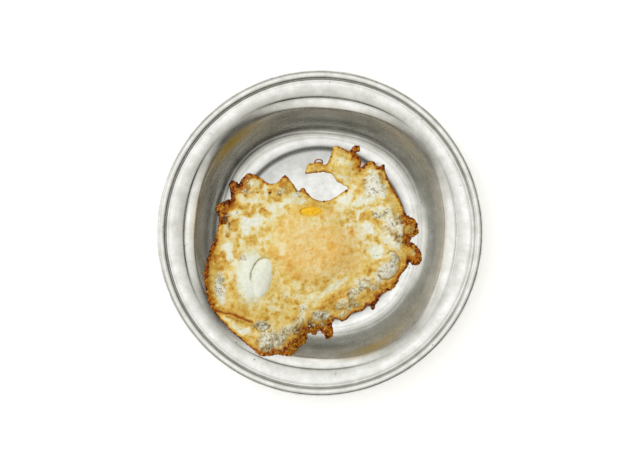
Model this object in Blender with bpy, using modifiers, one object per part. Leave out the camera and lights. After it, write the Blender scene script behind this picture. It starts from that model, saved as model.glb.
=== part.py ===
"""A fried egg in its round pressed steel dish.

The dish has a rolled rim, a flat ledge and a well whose plan is a rounded square. The egg lies
on the raised middle of the well, and its lower left side climbs the wall as far as the ledge.
Units are metres, +Z is up, and the origin is on the table under the middle of the dish.
"""

import math

import bmesh
import bpy
from mathutils import Vector
from mathutils.geometry import intersect_point_line

MM = 0.001
GAP = 0.35 * MM                     # clearance between pieces that touch
MERGE = 0.01 * MM                   # points closer than this are one point

# Dish: one sheet of steel
SHEET = 0.6 * MM
DISH_STEPS = 56                     # facets round the dish
CENTRE_RADIUS = 41.6 * MM           # raised middle of the well
CENTRE_INNER = 23.0 * MM            # a ring of points inside it
CENTRE_RAISE = 2.6 * MM
STEP_WIDTH = 2.4 * MM
FOOT_RADIUS = 46.5 * MM             # where the wall starts, at the flats of the rounded square
FOOT_SPREAD = 1.0 * MM              # how much further out that is at its corners
WALL_TOP_RADIUS = 61.6 * MM
WALL_TOP_SPREAD = 2.5 * MM
WALL_LEAN = math.radians(59.6)      # slope at its top
WALL_POINTS = 6
EDGE_ROUND = 1.0 * MM               # rounding where the wall meets the ledge
EDGE_SPREAD = 2.8 * MM
LEDGE_HEIGHT = 15.9 * MM
LEDGE_RADIUS = 67.7 * MM
LEDGE_SPREAD = 1.8 * MM
BAND_RADIUS = 74.7 * MM             # crest of the domed band outside the ledge
BAND_RISE = 2.25 * MM
BAND_SHOULDER = ((0.17, 0.4, 1.6 * MM), (0.47, 0.77, 0.9 * MM))  # shares of width and rise, spread
CORNER_TOP = 73.8 * MM              # at the corners one soft sweep climbs from the foot to here
GROOVE_RADIUS = 77.5 * MM
GROOVE_RISE = 1.72 * MM
BEAD_CENTRE_RADIUS = 79.74 * MM
BEAD_CENTRE_RISE = 2.34 * MM
BEAD_RADIUS = 2.0 * MM
BEAD_START = math.radians(180)      # the curl runs over the top and ends underneath
BEAD_END = math.radians(-90)
BEAD_POINTS = 6
SQUARENESS = 2.5                    # exponent of the rounded square
WELL_TURN = math.radians(-5)        # turn of its flats about +Z

# Egg white
OUTLINE_STEP = 3.0 * MM             # length of one facet of the outline
GRID = 4.3 * MM                     # spacing of the points inside the outline
EDGE_THICKNESS = 1.3 * MM
FLAP_THICKNESS = 0.8 * MM           # least thickness of the folded flap
WHITE_THICKNESS = 4.0 * MM
TAPER = 8.0 * MM                    # width over which the edge thins out
RAMP_DIRECTION = math.radians(238)  # the side that leans on the wall
RAMP_START = 27.0 * MM
RAMP_END = 60.0 * MM                # from here on the egg lies level on the ledge
RAMP_RISE = LEDGE_HEIGHT - SHEET - CENTRE_RAISE + 0.1 * MM
RAMP_EASE = 0.5                     # share of the ramp's rise that has soft ends
RAMP_INNER = 16.0 * MM              # half the width of the ramp, and where it has died away
RAMP_OUTER = 32.0 * MM
CLEARANCE_OUT = 0.42 * MM           # shift outwards that keeps the egg clear of the steep wall
CURD_CENTRE = Vector((-32.5, -21.5)) * MM
CURD_SIZE = Vector((9.5, 12.0)) * MM
CURD_RISE = 1.8 * MM
CURD_INNER = 0.5                    # the curd is level inside this share of its size
CURD_OUTER = 1.2
CREASE_START = Vector((-53.5, -38.6)) * MM
CREASE_END = Vector((-28.0, -47.6)) * MM
FLAP_DROP = 1.6 * MM                # how far the folded flap lies below the white above it
CREASE_WIDTH = 1.6 * MM

# Yolk
YOLK_CENTRE = Vector((-4.0, -5.9)) * MM
YOLK_SIZE = Vector((21.0, 19.5)) * MM
YOLK_MIDDLE = 3.7 * MM              # height of its widest level above the egg's underside
YOLK_UP = 3.6 * MM
YOLK_DOWN = 2.9 * MM
DOME_RISE = 4.1 * MM                # rise of the white over the yolk
DOME_INNER = 0.5                    # the dome is level inside this share of the yolk's size
DOME_OUTER = 1.35
WINDOW_CENTRE = Vector((-5.2, 11.1)) * MM
WINDOW_SIZE = Vector((6.0, 2.3)) * MM
WINDOW_TURN = math.radians(4)
WINDOW_BOTTOM = YOLK_MIDDLE + 0.4 * MM
WINDOW_DEPTH = 20.0 * MM

# The egg's outline in mm, clockwise, as corners. Each has the bow of the edge that leads to it:
# outwards where it is positive, inwards where it is negative.
OUTLINE = {
    "upper left crown": (
        (-45.5, 16.8, 0.0), (-46.0, 24.2, -0.6), (-41.8, 25.8, 0.4), (-28.0, 25.4, 4.6),
        (-25.0, 24.4, 0.0), (-11.3, 21.4, 6.0), (-8.0, 21.6, 0.8),
    ),
    "bite": ((14.0, 23.1, -6.2), (5.0, 30.4, -0.4)),
    "hook": ((-7.5, 30.1, -0.2), (-6.3, 34.8, 0.4), (2.5, 35.1, 0.3)),
    "top lobe": ((7.0, 43.0, -0.3), (14.0, 41.6, 0.8), (19.6, 43.8, 0.0), (20.5, 33.8, -0.6)),
    "right shoulder": ((30.0, 33.1, 2.0), (32.6, 34.4, 0.0), (32.8, 29.0, 0.4), (43.0, 10.1, 0.4)),
    "right lobes": ((45.5, -3.4, 5.2), (44.6, -13.6, 6.4)),
    "lower edge": (
        (30.0, -31.9, 1.0), (27.5, -37.9, 0.0), (15.5, -40.4, 0.6), (6.8, -42.9, 2.2),
    ),
    "drips": ((6.8, -51.6, 0.0), (2.0, -52.0, 0.9), (-2.0, -49.4, 0.0), (-6.2, -51.2, 0.7)),
    "browned foot": ((-22.8, -60.9, 4.2), (-29.4, -61.6, 0.6), (-32.5, -57.9, 0.0)),
    "folded edge": ((-52.5, -39.7, 0.3),),
    "left side": ((-54.0, -4.4, 5.2), (-50.3, 1.6, 0.5), (-51.0, 7.6, -0.5), (-52.2, 14.4, 0.6)),
}


def well_swell(azimuth):
    """Return 0 at a flat of the rounded square and 1 at its corner."""
    angle = azimuth - WELL_TURN
    reach = (abs(math.cos(angle)) ** SQUARENESS + abs(math.sin(angle)) ** SQUARENESS) ** (-1 / SQUARENESS)
    corner = 2 ** (0.5 - 1 / SQUARENESS)
    return (reach - 1) / (corner - 1)


def with_lift(ring):
    """Add to a ring of the profile how far it lies higher at the well's corners."""
    radius, height, spread = ring
    foot = FOOT_RADIUS + FOOT_SPREAD
    share = min(max((radius + spread - foot) / (CORNER_TOP - foot), 0.0), 1.0)
    sweep = SHEET + (LEDGE_HEIGHT + BAND_RISE - SHEET) * (1 - math.cos(math.pi * share)) / 2
    return radius, height, spread, sweep - height


def wall_rings():
    """Upper face of the wall, which leans ever more steeply from its foot to its top."""
    step = (WALL_TOP_RADIUS - FOOT_RADIUS) / WALL_POINTS
    height = SHEET
    rings = []
    for i in range(WALL_POINTS + 1):
        share = i / WALL_POINTS
        spread = FOOT_SPREAD + (WALL_TOP_SPREAD - FOOT_SPREAD) * share
        rings.append((FOOT_RADIUS + i * step, height, spread))
        lean = WALL_LEAN * math.sin(math.pi / 2 * (share + 0.5 / WALL_POINTS))
        height += step * math.tan(lean)
    return rings


def well_profile():
    """Upper face of the sheet, middle to ledge: radius, height, spread and lift at the corners."""
    centre = SHEET + CENTRE_RAISE
    rings = wall_rings()
    rings.append((WALL_TOP_RADIUS + EDGE_ROUND, LEDGE_HEIGHT, EDGE_SPREAD))
    rings.append((LEDGE_RADIUS, LEDGE_HEIGHT, LEDGE_SPREAD))
    return [
        (0.0, centre, 0.0, 0.0),
        (CENTRE_INNER, centre, 0.0, 0.0),
        (CENTRE_RADIUS, centre, 0.0, 0.0),
        (CENTRE_RADIUS + STEP_WIDTH, SHEET, 0.0, 0.0),
        *(with_lift(ring) for ring in rings),
    ]


def rim_profile():
    """Upper face from the ledge's outer step to the end of the curl under the rim."""
    rings = []
    for width_share, rise_share, spread in BAND_SHOULDER:
        radius = LEDGE_RADIUS + width_share * (BAND_RADIUS - LEDGE_RADIUS)
        rings.append(with_lift((radius, LEDGE_HEIGHT + rise_share * BAND_RISE, spread)))
    rings.append((BAND_RADIUS, LEDGE_HEIGHT + BAND_RISE, 0.0, 0.0))
    rings.append((GROOVE_RADIUS, LEDGE_HEIGHT + GROOVE_RISE, 0.0, 0.0))
    for i in range(BEAD_POINTS + 1):
        turn = BEAD_START + (BEAD_END - BEAD_START) * i / BEAD_POINTS
        radius = BEAD_CENTRE_RADIUS + BEAD_RADIUS * math.cos(turn)
        height = LEDGE_HEIGHT + BEAD_CENTRE_RISE + BEAD_RADIUS * math.sin(turn)
        rings.append((radius, height, 0.0, 0.0))
    return rings


def dish_floor(x, y):
    """Height of the sheet's upper face under a point inside the rim."""
    radius = math.hypot(x, y)
    swell = well_swell(math.atan2(y, x))
    inner, height = 0.0, SHEET + CENTRE_RAISE
    for ring_radius, ring_height, spread, lift in well_profile():
        outer = ring_radius + spread * swell
        reached = ring_height + lift * swell
        if radius <= outer:
            share = (radius - inner) / max(outer - inner, MERGE)
            return height + (reached - height) * share
        inner, height = outer, reached
    return height


def smooth_step(low, high, value):
    """Go from 0 at low to 1 at high with level ends."""
    share = min(1.0, max(0.0, (value - low) / (high - low)))
    return share * share * (3 - 2 * share)


def ellipse_share(point, centre, size):
    """Return 0 at an ellipse's centre and 1 on its edge."""
    return math.hypot((point.x - centre.x) / size.x, (point.y - centre.y) / size.y)


def egg_underside(point):
    """Height of the egg's lower face: level, then a ramp up the wall, always clear of the dish."""
    level = SHEET + CENTRE_RAISE + GAP
    along = point.x * math.cos(RAMP_DIRECTION) + point.y * math.sin(RAMP_DIRECTION)
    aside = abs(point.y * math.cos(RAMP_DIRECTION) - point.x * math.sin(RAMP_DIRECTION))
    share = min(1.0, max(0.0, (along - RAMP_START) / (RAMP_END - RAMP_START)))
    share *= 1 - smooth_step(RAMP_INNER, RAMP_OUTER, aside)
    eased = smooth_step(0.0, 1.0, share)
    ramp = level + RAMP_RISE * (RAMP_EASE * eased + (1 - RAMP_EASE) * share)
    outwards = point * (1 + CLEARANCE_OUT / max(point.length, MM))
    return max(ramp, dish_floor(outwards.x, outwards.y) + GAP)


def flap_drop(point):
    """How far the upper face lies below the white, past the crease of the fold."""
    along = CREASE_END - CREASE_START
    span = along.length
    along.normalize()
    across = Vector((along.y, -along.x))
    offset = point - CREASE_START
    fade = 1 - smooth_step(0.85 * span, 1.2 * span, offset.dot(along))
    return FLAP_DROP * fade * smooth_step(0.0, CREASE_WIDTH, offset.dot(across))


def edge_distance(point, start, end):
    """Distance from a point to one straight stretch of the outline."""
    _, share = intersect_point_line(point, start, end)
    nearest = start.lerp(end, min(1.0, max(0.0, share)))
    return (point - nearest).length


def egg_thickness(point, rim):
    """Thickness of the egg at a point, worked out from its distance to the outline."""
    inward = min(edge_distance(point, start, end) for start, end in rim)
    body = EDGE_THICKNESS + (WHITE_THICKNESS - EDGE_THICKNESS) * smooth_step(0.0, TAPER, inward)
    dome = 1 - smooth_step(DOME_INNER, DOME_OUTER, ellipse_share(point, YOLK_CENTRE, YOLK_SIZE))
    curd = 1 - smooth_step(CURD_INNER, CURD_OUTER, ellipse_share(point, CURD_CENTRE, CURD_SIZE))
    drop = min(flap_drop(point), body - FLAP_THICKNESS)
    return body + DOME_RISE * dome + CURD_RISE * curd - drop


def bowed_edge(start, end, bow):
    """Points from start up to end along an edge that bows to the left by the given height."""
    chord = end - start
    side = Vector((-chord.y, chord.x)).normalized()
    length = math.hypot(chord.length, 2 * bow)
    count = max(1, round(length / OUTLINE_STEP))
    points = []
    for i in range(count):
        share = i / count
        points.append(start + chord * share + side * (4 * bow * share * (1 - share)))
    return points


def egg_outline():
    """The egg's outline as points at even steps."""
    corners = [corner for stretch in OUTLINE.values() for corner in stretch]
    points = []
    for i, (x, y, bow) in enumerate(corners):
        before = corners[i - 1]
        start = Vector((before[0], before[1])) * MM
        points += bowed_edge(start, Vector((x, y)) * MM, bow * MM)
    return points


def principled(name, colour, roughness, metallic):
    """A plain material with the given colour and finish."""
    material = bpy.data.materials.new(name)
    material.use_nodes = True
    shader = material.node_tree.nodes["Principled BSDF"]
    shader.inputs["Base Color"].default_value = (*colour, 1.0)
    shader.inputs["Roughness"].default_value = roughness
    shader.inputs["Metallic"].default_value = metallic
    return material


def new_collection(name):
    """A collection linked to the scene."""
    collection = bpy.data.collections.new(name)
    bpy.context.scene.collection.children.link(collection)
    return collection


def add_object(name, data, collection, material=None):
    """An object at the origin in the given collection."""
    thing = bpy.data.objects.new(name, data)
    collection.objects.link(thing)
    if material:
        data.materials.append(material)
    return thing


def baked_mesh(thing, name):
    """The mesh that an object evaluates to, with its doubles merged; the object is removed."""
    bpy.context.view_layer.update()
    evaluated = thing.evaluated_get(bpy.context.evaluated_depsgraph_get())
    mesh = bpy.data.meshes.new_from_object(evaluated)
    mesh.name = name
    bpy.data.objects.remove(thing)
    form = bmesh.new()
    form.from_mesh(mesh)
    bmesh.ops.remove_doubles(form, verts=form.verts, dist=MERGE)
    form.to_mesh(mesh)
    form.free()
    return mesh


def turned_surface(name, rings, collection):
    """An open surface turned about +Z from a profile of radii and heights."""
    profile = bpy.data.meshes.new(name)
    points = [(ring[0], 0.0, ring[1]) for ring in rings]
    profile.from_pydata(points, [(i, i + 1) for i in range(len(points) - 1)], [])
    thing = add_object(name, profile, collection)
    screw = thing.modifiers.new("Turn", "SCREW")
    screw.steps = DISH_STEPS
    screw.render_steps = DISH_STEPS
    screw.use_merge_vertices = True
    screw.merge_threshold = MERGE
    screw.use_normal_calculate = True
    return baked_mesh(thing, name)


def shape_well(mesh, rings):
    """Draw the turned rings of the well out to the plan of a rounded square."""
    for vertex in mesh.vertices:
        radius = math.hypot(vertex.co.x, vertex.co.y)
        if radius < MERGE:
            continue
        _, spread, lift = min((abs(ring[0] - radius) + abs(ring[1] - vertex.co.z), ring[2], ring[3])
                              for ring in rings)
        swell = well_swell(math.atan2(vertex.co.y, vertex.co.x))
        stretch = 1 + spread * swell / radius
        vertex.co.x *= stretch
        vertex.co.y *= stretch
        vertex.co.z += lift * swell


def build_dish(collection):
    """The steel dish: a turned and drawn sheet with a curled rim."""
    rings = well_profile() + rim_profile()
    mesh = turned_surface("dish", rings, collection)
    shape_well(mesh, rings)
    form = bmesh.new()
    form.from_mesh(mesh)
    bmesh.ops.recalc_face_normals(form, faces=form.faces)
    middle = min(form.faces, key=lambda face: face.calc_center_median().length)
    if middle.normal.z < 0:
        bmesh.ops.reverse_faces(form, faces=form.faces)
    form.to_mesh(mesh)
    form.free()
    steel = principled("pressed steel", (0.62, 0.62, 0.60), 0.3, 1.0)
    dish = add_object("dish", mesh, collection, steel)
    sheet = dish.modifiers.new("Sheet", "SOLIDIFY")
    sheet.thickness = SHEET
    sheet.offset = -1.0
    sheet.use_even_offset = True
    mesh.shade_smooth()
    mesh.set_sharp_from_angle(angle=math.radians(35))
    return dish


def outline_slab(points, thickness, collection):
    """A flat slab with the given outline, its middle at z = 0."""
    curve = bpy.data.curves.new("slab", "CURVE")
    curve.dimensions = "2D"
    curve.fill_mode = "BOTH"
    curve.extrude = thickness / 2
    spline = curve.splines.new("POLY")
    spline.points.add(len(points) - 1)
    for target, point in zip(spline.points, points):
        target.co = (point.x, point.y, 0.0, 1.0)
    spline.use_cyclic_u = True
    return baked_mesh(add_object("slab", curve, collection), "slab")


def cut_across(form, place, normal, reach=None):
    """Cut every face, or those within reach of a place, along an upright plane."""
    faces = [face for face in form.faces
             if reach is None or (face.calc_center_median().to_2d() - place).length < reach]
    edges = {edge for face in faces for edge in face.edges}
    verts = {vert for face in faces for vert in face.verts}
    bmesh.ops.bisect_plane(form, geom=[*verts, *edges, *faces], dist=MERGE,
                           plane_co=(place.x, place.y, 0.0), plane_no=(normal.x, normal.y, 0.0))


def grid_slab(mesh):
    """Cut the slab on a square grid, and closely on both sides of the crease."""
    form = bmesh.new()
    form.from_mesh(mesh)
    bmesh.ops.dissolve_limit(form, angle_limit=math.radians(1), verts=[],
                             edges=[edge for edge in form.edges if edge.calc_face_angle(1.0) < 0.01])
    lows = [min(vert.co[axis] for vert in form.verts) for axis in (0, 1)]
    highs = [max(vert.co[axis] for vert in form.verts) for axis in (0, 1)]
    for axis in (0, 1):
        count = round((highs[axis] - lows[axis]) / GRID)
        for i in range(1, count):
            place = Vector((0.0, 0.0))
            place[axis] = lows[axis] + (highs[axis] - lows[axis]) * i / count
            normal = Vector((0.0, 0.0))
            normal[axis] = 1.0
            cut_across(form, place, normal)
    along = (CREASE_END - CREASE_START).normalized()
    across = Vector((along.y, -along.x))
    middle = (CREASE_START + CREASE_END) / 2
    for offset in (0.0, CREASE_WIDTH):
        cut_across(form, middle + across * offset, across, (CREASE_END - CREASE_START).length * 0.55)
    form.to_mesh(mesh)
    form.free()


def shape_white(mesh, points):
    """Lift the slab's two faces to the egg's underside and upper face."""
    rim = [(points[i - 1], points[i]) for i in range(len(points))]
    for vertex in mesh.vertices:
        point = vertex.co.to_2d()
        height = egg_underside(point)
        if vertex.co.z > 0:
            height += egg_thickness(point, rim)
        vertex.co.z = height
    form = bmesh.new()
    form.from_mesh(mesh)
    bmesh.ops.triangulate(form, faces=form.faces)
    bmesh.ops.recalc_face_normals(form, faces=form.faces)
    form.to_mesh(mesh)
    form.free()


def yolk_form(name, collection, grow):
    """The yolk's low dome, larger all round by grow."""
    form = bmesh.new()
    bmesh.ops.create_uvsphere(form, u_segments=24, v_segments=10, radius=1.0)
    middle = egg_underside(YOLK_CENTRE) + YOLK_MIDDLE
    for vertex in form.verts:
        half = YOLK_UP if vertex.co.z > 0 else YOLK_DOWN
        vertex.co.x = YOLK_CENTRE.x + vertex.co.x * (YOLK_SIZE.x + grow)
        vertex.co.y = YOLK_CENTRE.y + vertex.co.y * (YOLK_SIZE.y + grow)
        vertex.co.z = middle + vertex.co.z * (half + grow)
    mesh = bpy.data.meshes.new(name)
    form.to_mesh(mesh)
    form.free()
    mesh.shade_smooth()
    return add_object(name, mesh, collection)


def window_form(collection):
    """The cutter for the torn place in the white over the yolk."""
    bottom = egg_underside(YOLK_CENTRE) + WINDOW_BOTTOM
    bpy.ops.mesh.primitive_cylinder_add(vertices=16, radius=1.0, depth=1.0)
    window = bpy.context.object
    window.name = "window cutter"
    for vertex in window.data.vertices:
        vertex.co.x *= WINDOW_SIZE.x
        vertex.co.y *= WINDOW_SIZE.y
        vertex.co.z *= WINDOW_DEPTH
    window.location = (WINDOW_CENTRE.x, WINDOW_CENTRE.y, bottom + WINDOW_DEPTH / 2)
    window.rotation_euler.z = WINDOW_TURN
    for holder in list(window.users_collection):
        holder.objects.unlink(window)
    collection.objects.link(window)
    return window


def cut_with(thing, cutter):
    """Take a cutter's shape out of an object."""
    cutter.hide_render = True
    cutter.display_type = "WIRE"
    cut = thing.modifiers.new(cutter.name, "BOOLEAN")
    cut.operation = "DIFFERENCE"
    cut.solver = "EXACT"
    cut.object = cutter


def build_white(collection, cutters):
    """The egg white, with the pocket that holds the yolk and the window over it."""
    points = egg_outline()
    mesh = outline_slab(points, WHITE_THICKNESS, collection)
    mesh.name = "egg_white"
    grid_slab(mesh)
    shape_white(mesh, points)
    fried_white = principled("fried white", (0.84, 0.66, 0.36), 0.45, 0.0)
    white = add_object("egg_white", mesh, collection, fried_white)
    cut_with(white, yolk_form("yolk pocket", cutters, GAP))
    cut_with(white, window_form(cutters))
    return white


def build_yolk(collection):
    """The set yolk, seen through the window in the white."""
    yolk = yolk_form("yolk", collection, 0.0)
    yolk.data.materials.append(principled("cooked yolk", (0.95, 0.62, 0.05), 0.3, 0.0))
    return yolk


def main():
    """Clear the scene and build the object."""
    for thing in list(bpy.data.objects):
        bpy.data.objects.remove(thing)
    parts = new_collection("fried egg in a dish")
    cutters = new_collection("cutters")
    build_dish(parts)
    build_white(parts, cutters)
    build_yolk(parts)


main()
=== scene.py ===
import math

import bmesh
import bpy
import numpy as np
from bpy.props import FloatProperty, FloatVectorProperty, IntProperty, PointerProperty
from mathutils import Matrix, Vector, kdtree, noise
from mathutils.bvhtree import BVHTree


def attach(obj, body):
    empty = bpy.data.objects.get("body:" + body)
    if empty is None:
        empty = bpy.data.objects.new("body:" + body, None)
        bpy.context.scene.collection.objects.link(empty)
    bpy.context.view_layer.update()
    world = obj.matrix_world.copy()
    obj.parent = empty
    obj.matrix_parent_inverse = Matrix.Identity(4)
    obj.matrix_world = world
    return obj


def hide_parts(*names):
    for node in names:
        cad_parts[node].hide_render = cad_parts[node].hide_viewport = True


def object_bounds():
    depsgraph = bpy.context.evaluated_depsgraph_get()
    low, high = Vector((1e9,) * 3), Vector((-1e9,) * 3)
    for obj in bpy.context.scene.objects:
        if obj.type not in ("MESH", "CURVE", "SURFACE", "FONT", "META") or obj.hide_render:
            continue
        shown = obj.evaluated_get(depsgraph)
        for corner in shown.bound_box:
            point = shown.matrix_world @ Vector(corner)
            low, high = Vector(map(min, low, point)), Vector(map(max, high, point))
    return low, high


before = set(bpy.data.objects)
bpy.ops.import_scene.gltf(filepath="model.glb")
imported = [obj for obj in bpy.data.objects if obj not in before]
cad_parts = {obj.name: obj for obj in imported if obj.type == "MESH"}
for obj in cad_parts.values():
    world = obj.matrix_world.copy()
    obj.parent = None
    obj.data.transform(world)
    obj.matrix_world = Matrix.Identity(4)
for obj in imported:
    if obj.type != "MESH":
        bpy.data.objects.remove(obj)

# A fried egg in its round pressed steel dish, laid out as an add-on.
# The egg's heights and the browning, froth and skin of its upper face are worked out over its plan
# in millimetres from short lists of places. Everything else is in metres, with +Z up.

bl_info = {
    "name": "Fried Egg in a Dish",
    "version": (1, 0, 0),
    "blender": (4, 5, 0),
    "location": "View3D > Sidebar > Egg",
    "description": "Makes a fried egg with browned lace edges in a pressed steel dish",
    "category": "Add Mesh",
}

CAD_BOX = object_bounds()
MM = 0.001
MERGE = 0.005 * MM


def linear(hex_code):
    """Turn an sRGB hex colour into linear red, green, blue and alpha."""
    levels = [int(hex_code[i:i + 2], 16) / 255 for i in (0, 2, 4)]
    return (*[v / 12.92 if v <= 0.04045 else ((v + 0.055) / 1.055) ** 2.4 for v in levels], 1.0)


# ---------------------------------------------------------------- the dish, in mm

# How square the well's plan is, where 2 would be round, and how far that square is turned.
SQUARENESS = 2.5
WELL_TURN = math.radians(-5)
# The sheet's upper face in the flat ring, the raise of the middle above it, and the egg's clearance.
FLOOR = 0.6
CENTRE_RAISE = 2.6
GAP = 0.35

# Runs of the sheet's upper face, from the middle out: radius, height, spread at the well's corners.
# Each run is a smooth line, and two runs meet at a crease.
FLOOR_RUN = (
    (0.0, 3.2, 0.0), (20.0, 3.2, 0.0), (30.0, 3.2, 0.0), (34.0, 3.17, 0.0), (37.0, 3.09, 0.0),
    (39.0, 3.0, 0.0), (40.5, 2.9, 0.0), (41.4, 2.74, 0.0), (42.0, 2.46, 0.0), (42.5, 1.98, 0.0),
    (43.0, 1.38, 0.0), (43.5, 0.92, 0.0), (44.1, 0.7, 0.0), (45.0, 0.62, 0.0), (46.0, 0.6, 0.7),
    (46.5, 0.6, 1.0),
)
WALL_STEPS = 40
WALL_FOOT = (46.5, 1.0)
WALL_TOP = (61.4, 2.5)
WALL_LEAN = math.radians(59)
LEDGE_HEIGHT = 15.9
BAND_RISE = 2.25
# The ledge and the domed band outside it have their heights above the ledge instead.
LEDGE_RUN = (
    (61.4, -1.98, 2.5), (61.9, -1.22, 2.6), (62.25, -0.7, 2.7), (62.6, -0.34, 2.8), (62.95, -0.13, 2.85),
    (63.4, -0.03, 2.9), (64.6, 0.0, 2.6), (66.2, 0.0, 2.1), (67.1, 0.0, 1.9), (67.7, 0.0, 1.8),
)
BAND_RUN = (
    (67.7, 0.0, 1.8), (68.0, 0.3, 1.8), (68.35, 0.68, 1.78), (68.9, 1.0, 1.7), (69.9, 1.36, 1.4),
    (71.4, 1.78, 0.9), (73.1, 2.1, 0.5), (74.7, BAND_RISE, 0.1), (75.6, 2.18, 0.0), (76.3, 1.98, 0.0),
    (76.95, 1.66, 0.0),
)
# At the well's corners the wall passes into the band in one soft sweep, without the ledge. The sweep
# runs between these two radii.
CORNER_FOOT = 47.5
CORNER_TOP = 73.8
CORNER_RISE = LEDGE_HEIGHT + BAND_RISE - FLOOR
BEAD_CENTRE = (79.39, LEDGE_HEIGHT + 1.99)
BEAD_RADIUS = 2.35
BEAD_STEPS = 20
# Faint ridges that the press left on the wall: radius, spread at the corners, height.
DRAW_LINES = ((48.2, 1.6, 0.1), (50.6, 2.6, 0.13))
DRAW_LINE_WIDTH = 0.5

# A thin matt film on the inside of the wall: its strength, the heights between which it sets in and
# between which it ends, and the share of it that the well's corners lack.
FILM = 0.42
FILM_SETS_IN = (6.8, 10.0)
FILM_ENDS = (14.2, 15.6)
FILM_CORNER_LACK = 0.9
# Painted reflections of the egg's ochre colour on the inside of the wall: the middle, reach and strength of
# each. Where one is strongest it takes this share of the metal's shine.
PAINTED_REFLECTION_MATT = 0.6
PAINTED_EGG_REFLECTIONS = (
    (-44.0, 44.0, 11.0, 28.0, 1.0), (26.0, -55.0, 11.0, 24.0, 0.8), (42.0, 46.0, 11.0, 26.0, 0.35),
    (-62.0, 6.0, 11.0, 30.0, 0.25),
)


def well_swell(azimuth):
    """Return 0 at a flat of the well's rounded square and 1 at its corner."""
    angle = azimuth - WELL_TURN
    sides = np.abs(np.cos(angle)) ** SQUARENESS + np.abs(np.sin(angle)) ** SQUARENESS
    return (sides ** (-1 / SQUARENESS) - 1) / (2 ** (0.5 - 1 / SQUARENESS) - 1)


def smooth_step(low, high, value):
    """Go from 0 at low to 1 at high with level ends."""
    share = np.clip((value - low) / (high - low), 0, 1)
    return share * share * (3 - 2 * share)


def stretch_between(a, b, c, d, steps):
    """The steps from b to just before c of the smooth line through a, b, c and d."""
    line = []
    for t in (i / steps for i in range(steps)):
        line.append(tuple(
            0.5 * (2 * q + (r - p) * t + (2 * p - 5 * q + 4 * r - s) * t * t
                   + (3 * q - p - 3 * r + s) * t ** 3)
            for p, q, r, s in zip(a, b, c, d)))
    return line


def smooth_run(points, steps):
    """A smooth line through a run of points, with the given steps between each two."""
    ends = [points[0], *points, points[-1]]
    line = []
    for four in zip(ends, ends[1:], ends[2:], ends[3:]):
        line += stretch_between(*four, steps)
    return line


def corner_lift(point):
    """How far a point of the profile lies higher at the well's corners than at its flats."""
    radius, height, spread = point
    share = min((radius + spread - CORNER_FOOT) / (CORNER_TOP - CORNER_FOOT), 1.0)
    lift = FLOOR + CORNER_RISE * (1 - math.cos(math.pi * share)) / 2 - height
    return lift * (1 - float(smooth_step(CORNER_TOP, CORNER_TOP + 1, radius)))


def wall_run():
    """The wall: it leans ever more steeply from its foot to its top."""
    line, height = [], FLOOR
    for i in range(WALL_STEPS):
        share = i / WALL_STEPS
        line.append((WALL_FOOT[0] + (WALL_TOP[0] - WALL_FOOT[0]) * share, height,
                     WALL_FOOT[1] + (WALL_TOP[1] - WALL_FOOT[1]) * share))
        lean = WALL_LEAN * math.sin(math.pi / 2 * (share + 0.5 / WALL_STEPS))
        height += math.tan(lean) * (WALL_TOP[0] - WALL_FOOT[0]) / WALL_STEPS
    return line


def bead_run():
    """The rolled edge: over the top and round underneath."""
    line = []
    for i in range(BEAD_STEPS + 1):
        turn = math.pi - 1.5 * math.pi * i / BEAD_STEPS
        line.append((BEAD_CENTRE[0] + BEAD_RADIUS * math.cos(turn),
                     BEAD_CENTRE[1] + BEAD_RADIUS * math.sin(turn), 0.0))
    return line


def above_ledge(run):
    """A smooth line through a run whose heights are given above the ledge."""
    return smooth_run([(radius, LEDGE_HEIGHT + rise, spread) for radius, rise, spread in run], 2)


def dish_profile():
    """The whole upper face of the sheet, in mm: radius, height, and spread and lift at the corners."""
    drawn = wall_run() + above_ledge(LEDGE_RUN)[:-2] + above_ledge(BAND_RUN)[:-1]
    return ([(*point, 0.0) for point in smooth_run(FLOOR_RUN, 3)[:-3]]
            + [(*point, corner_lift(point)) for point in drawn]
            + [(*point, 0.0) for point in bead_run()])


def dish_floor(x, y):
    """Height of the sheet's upper face under points inside the rim, in mm."""
    radius = np.hypot(x, y)
    swell = well_swell(np.arctan2(y, x))
    rings = [ring for ring in dish_profile() if ring[0] < CORNER_TOP]
    height = np.full_like(radius, rings[-1][1])
    for inner, outer in reversed(list(zip(rings, rings[1:]))):
        near, far = (ring[0] + ring[2] * swell for ring in (inner, outer))
        low, high = (ring[1] + ring[3] * swell for ring in (inner, outer))
        share = np.clip((radius - near) / np.maximum(far - near, 1e-6), 0, 1)
        height = np.where(radius <= far, low + (high - low) * share, height)
    return height


# ---------------------------------------------------------------- the egg, in mm

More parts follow.
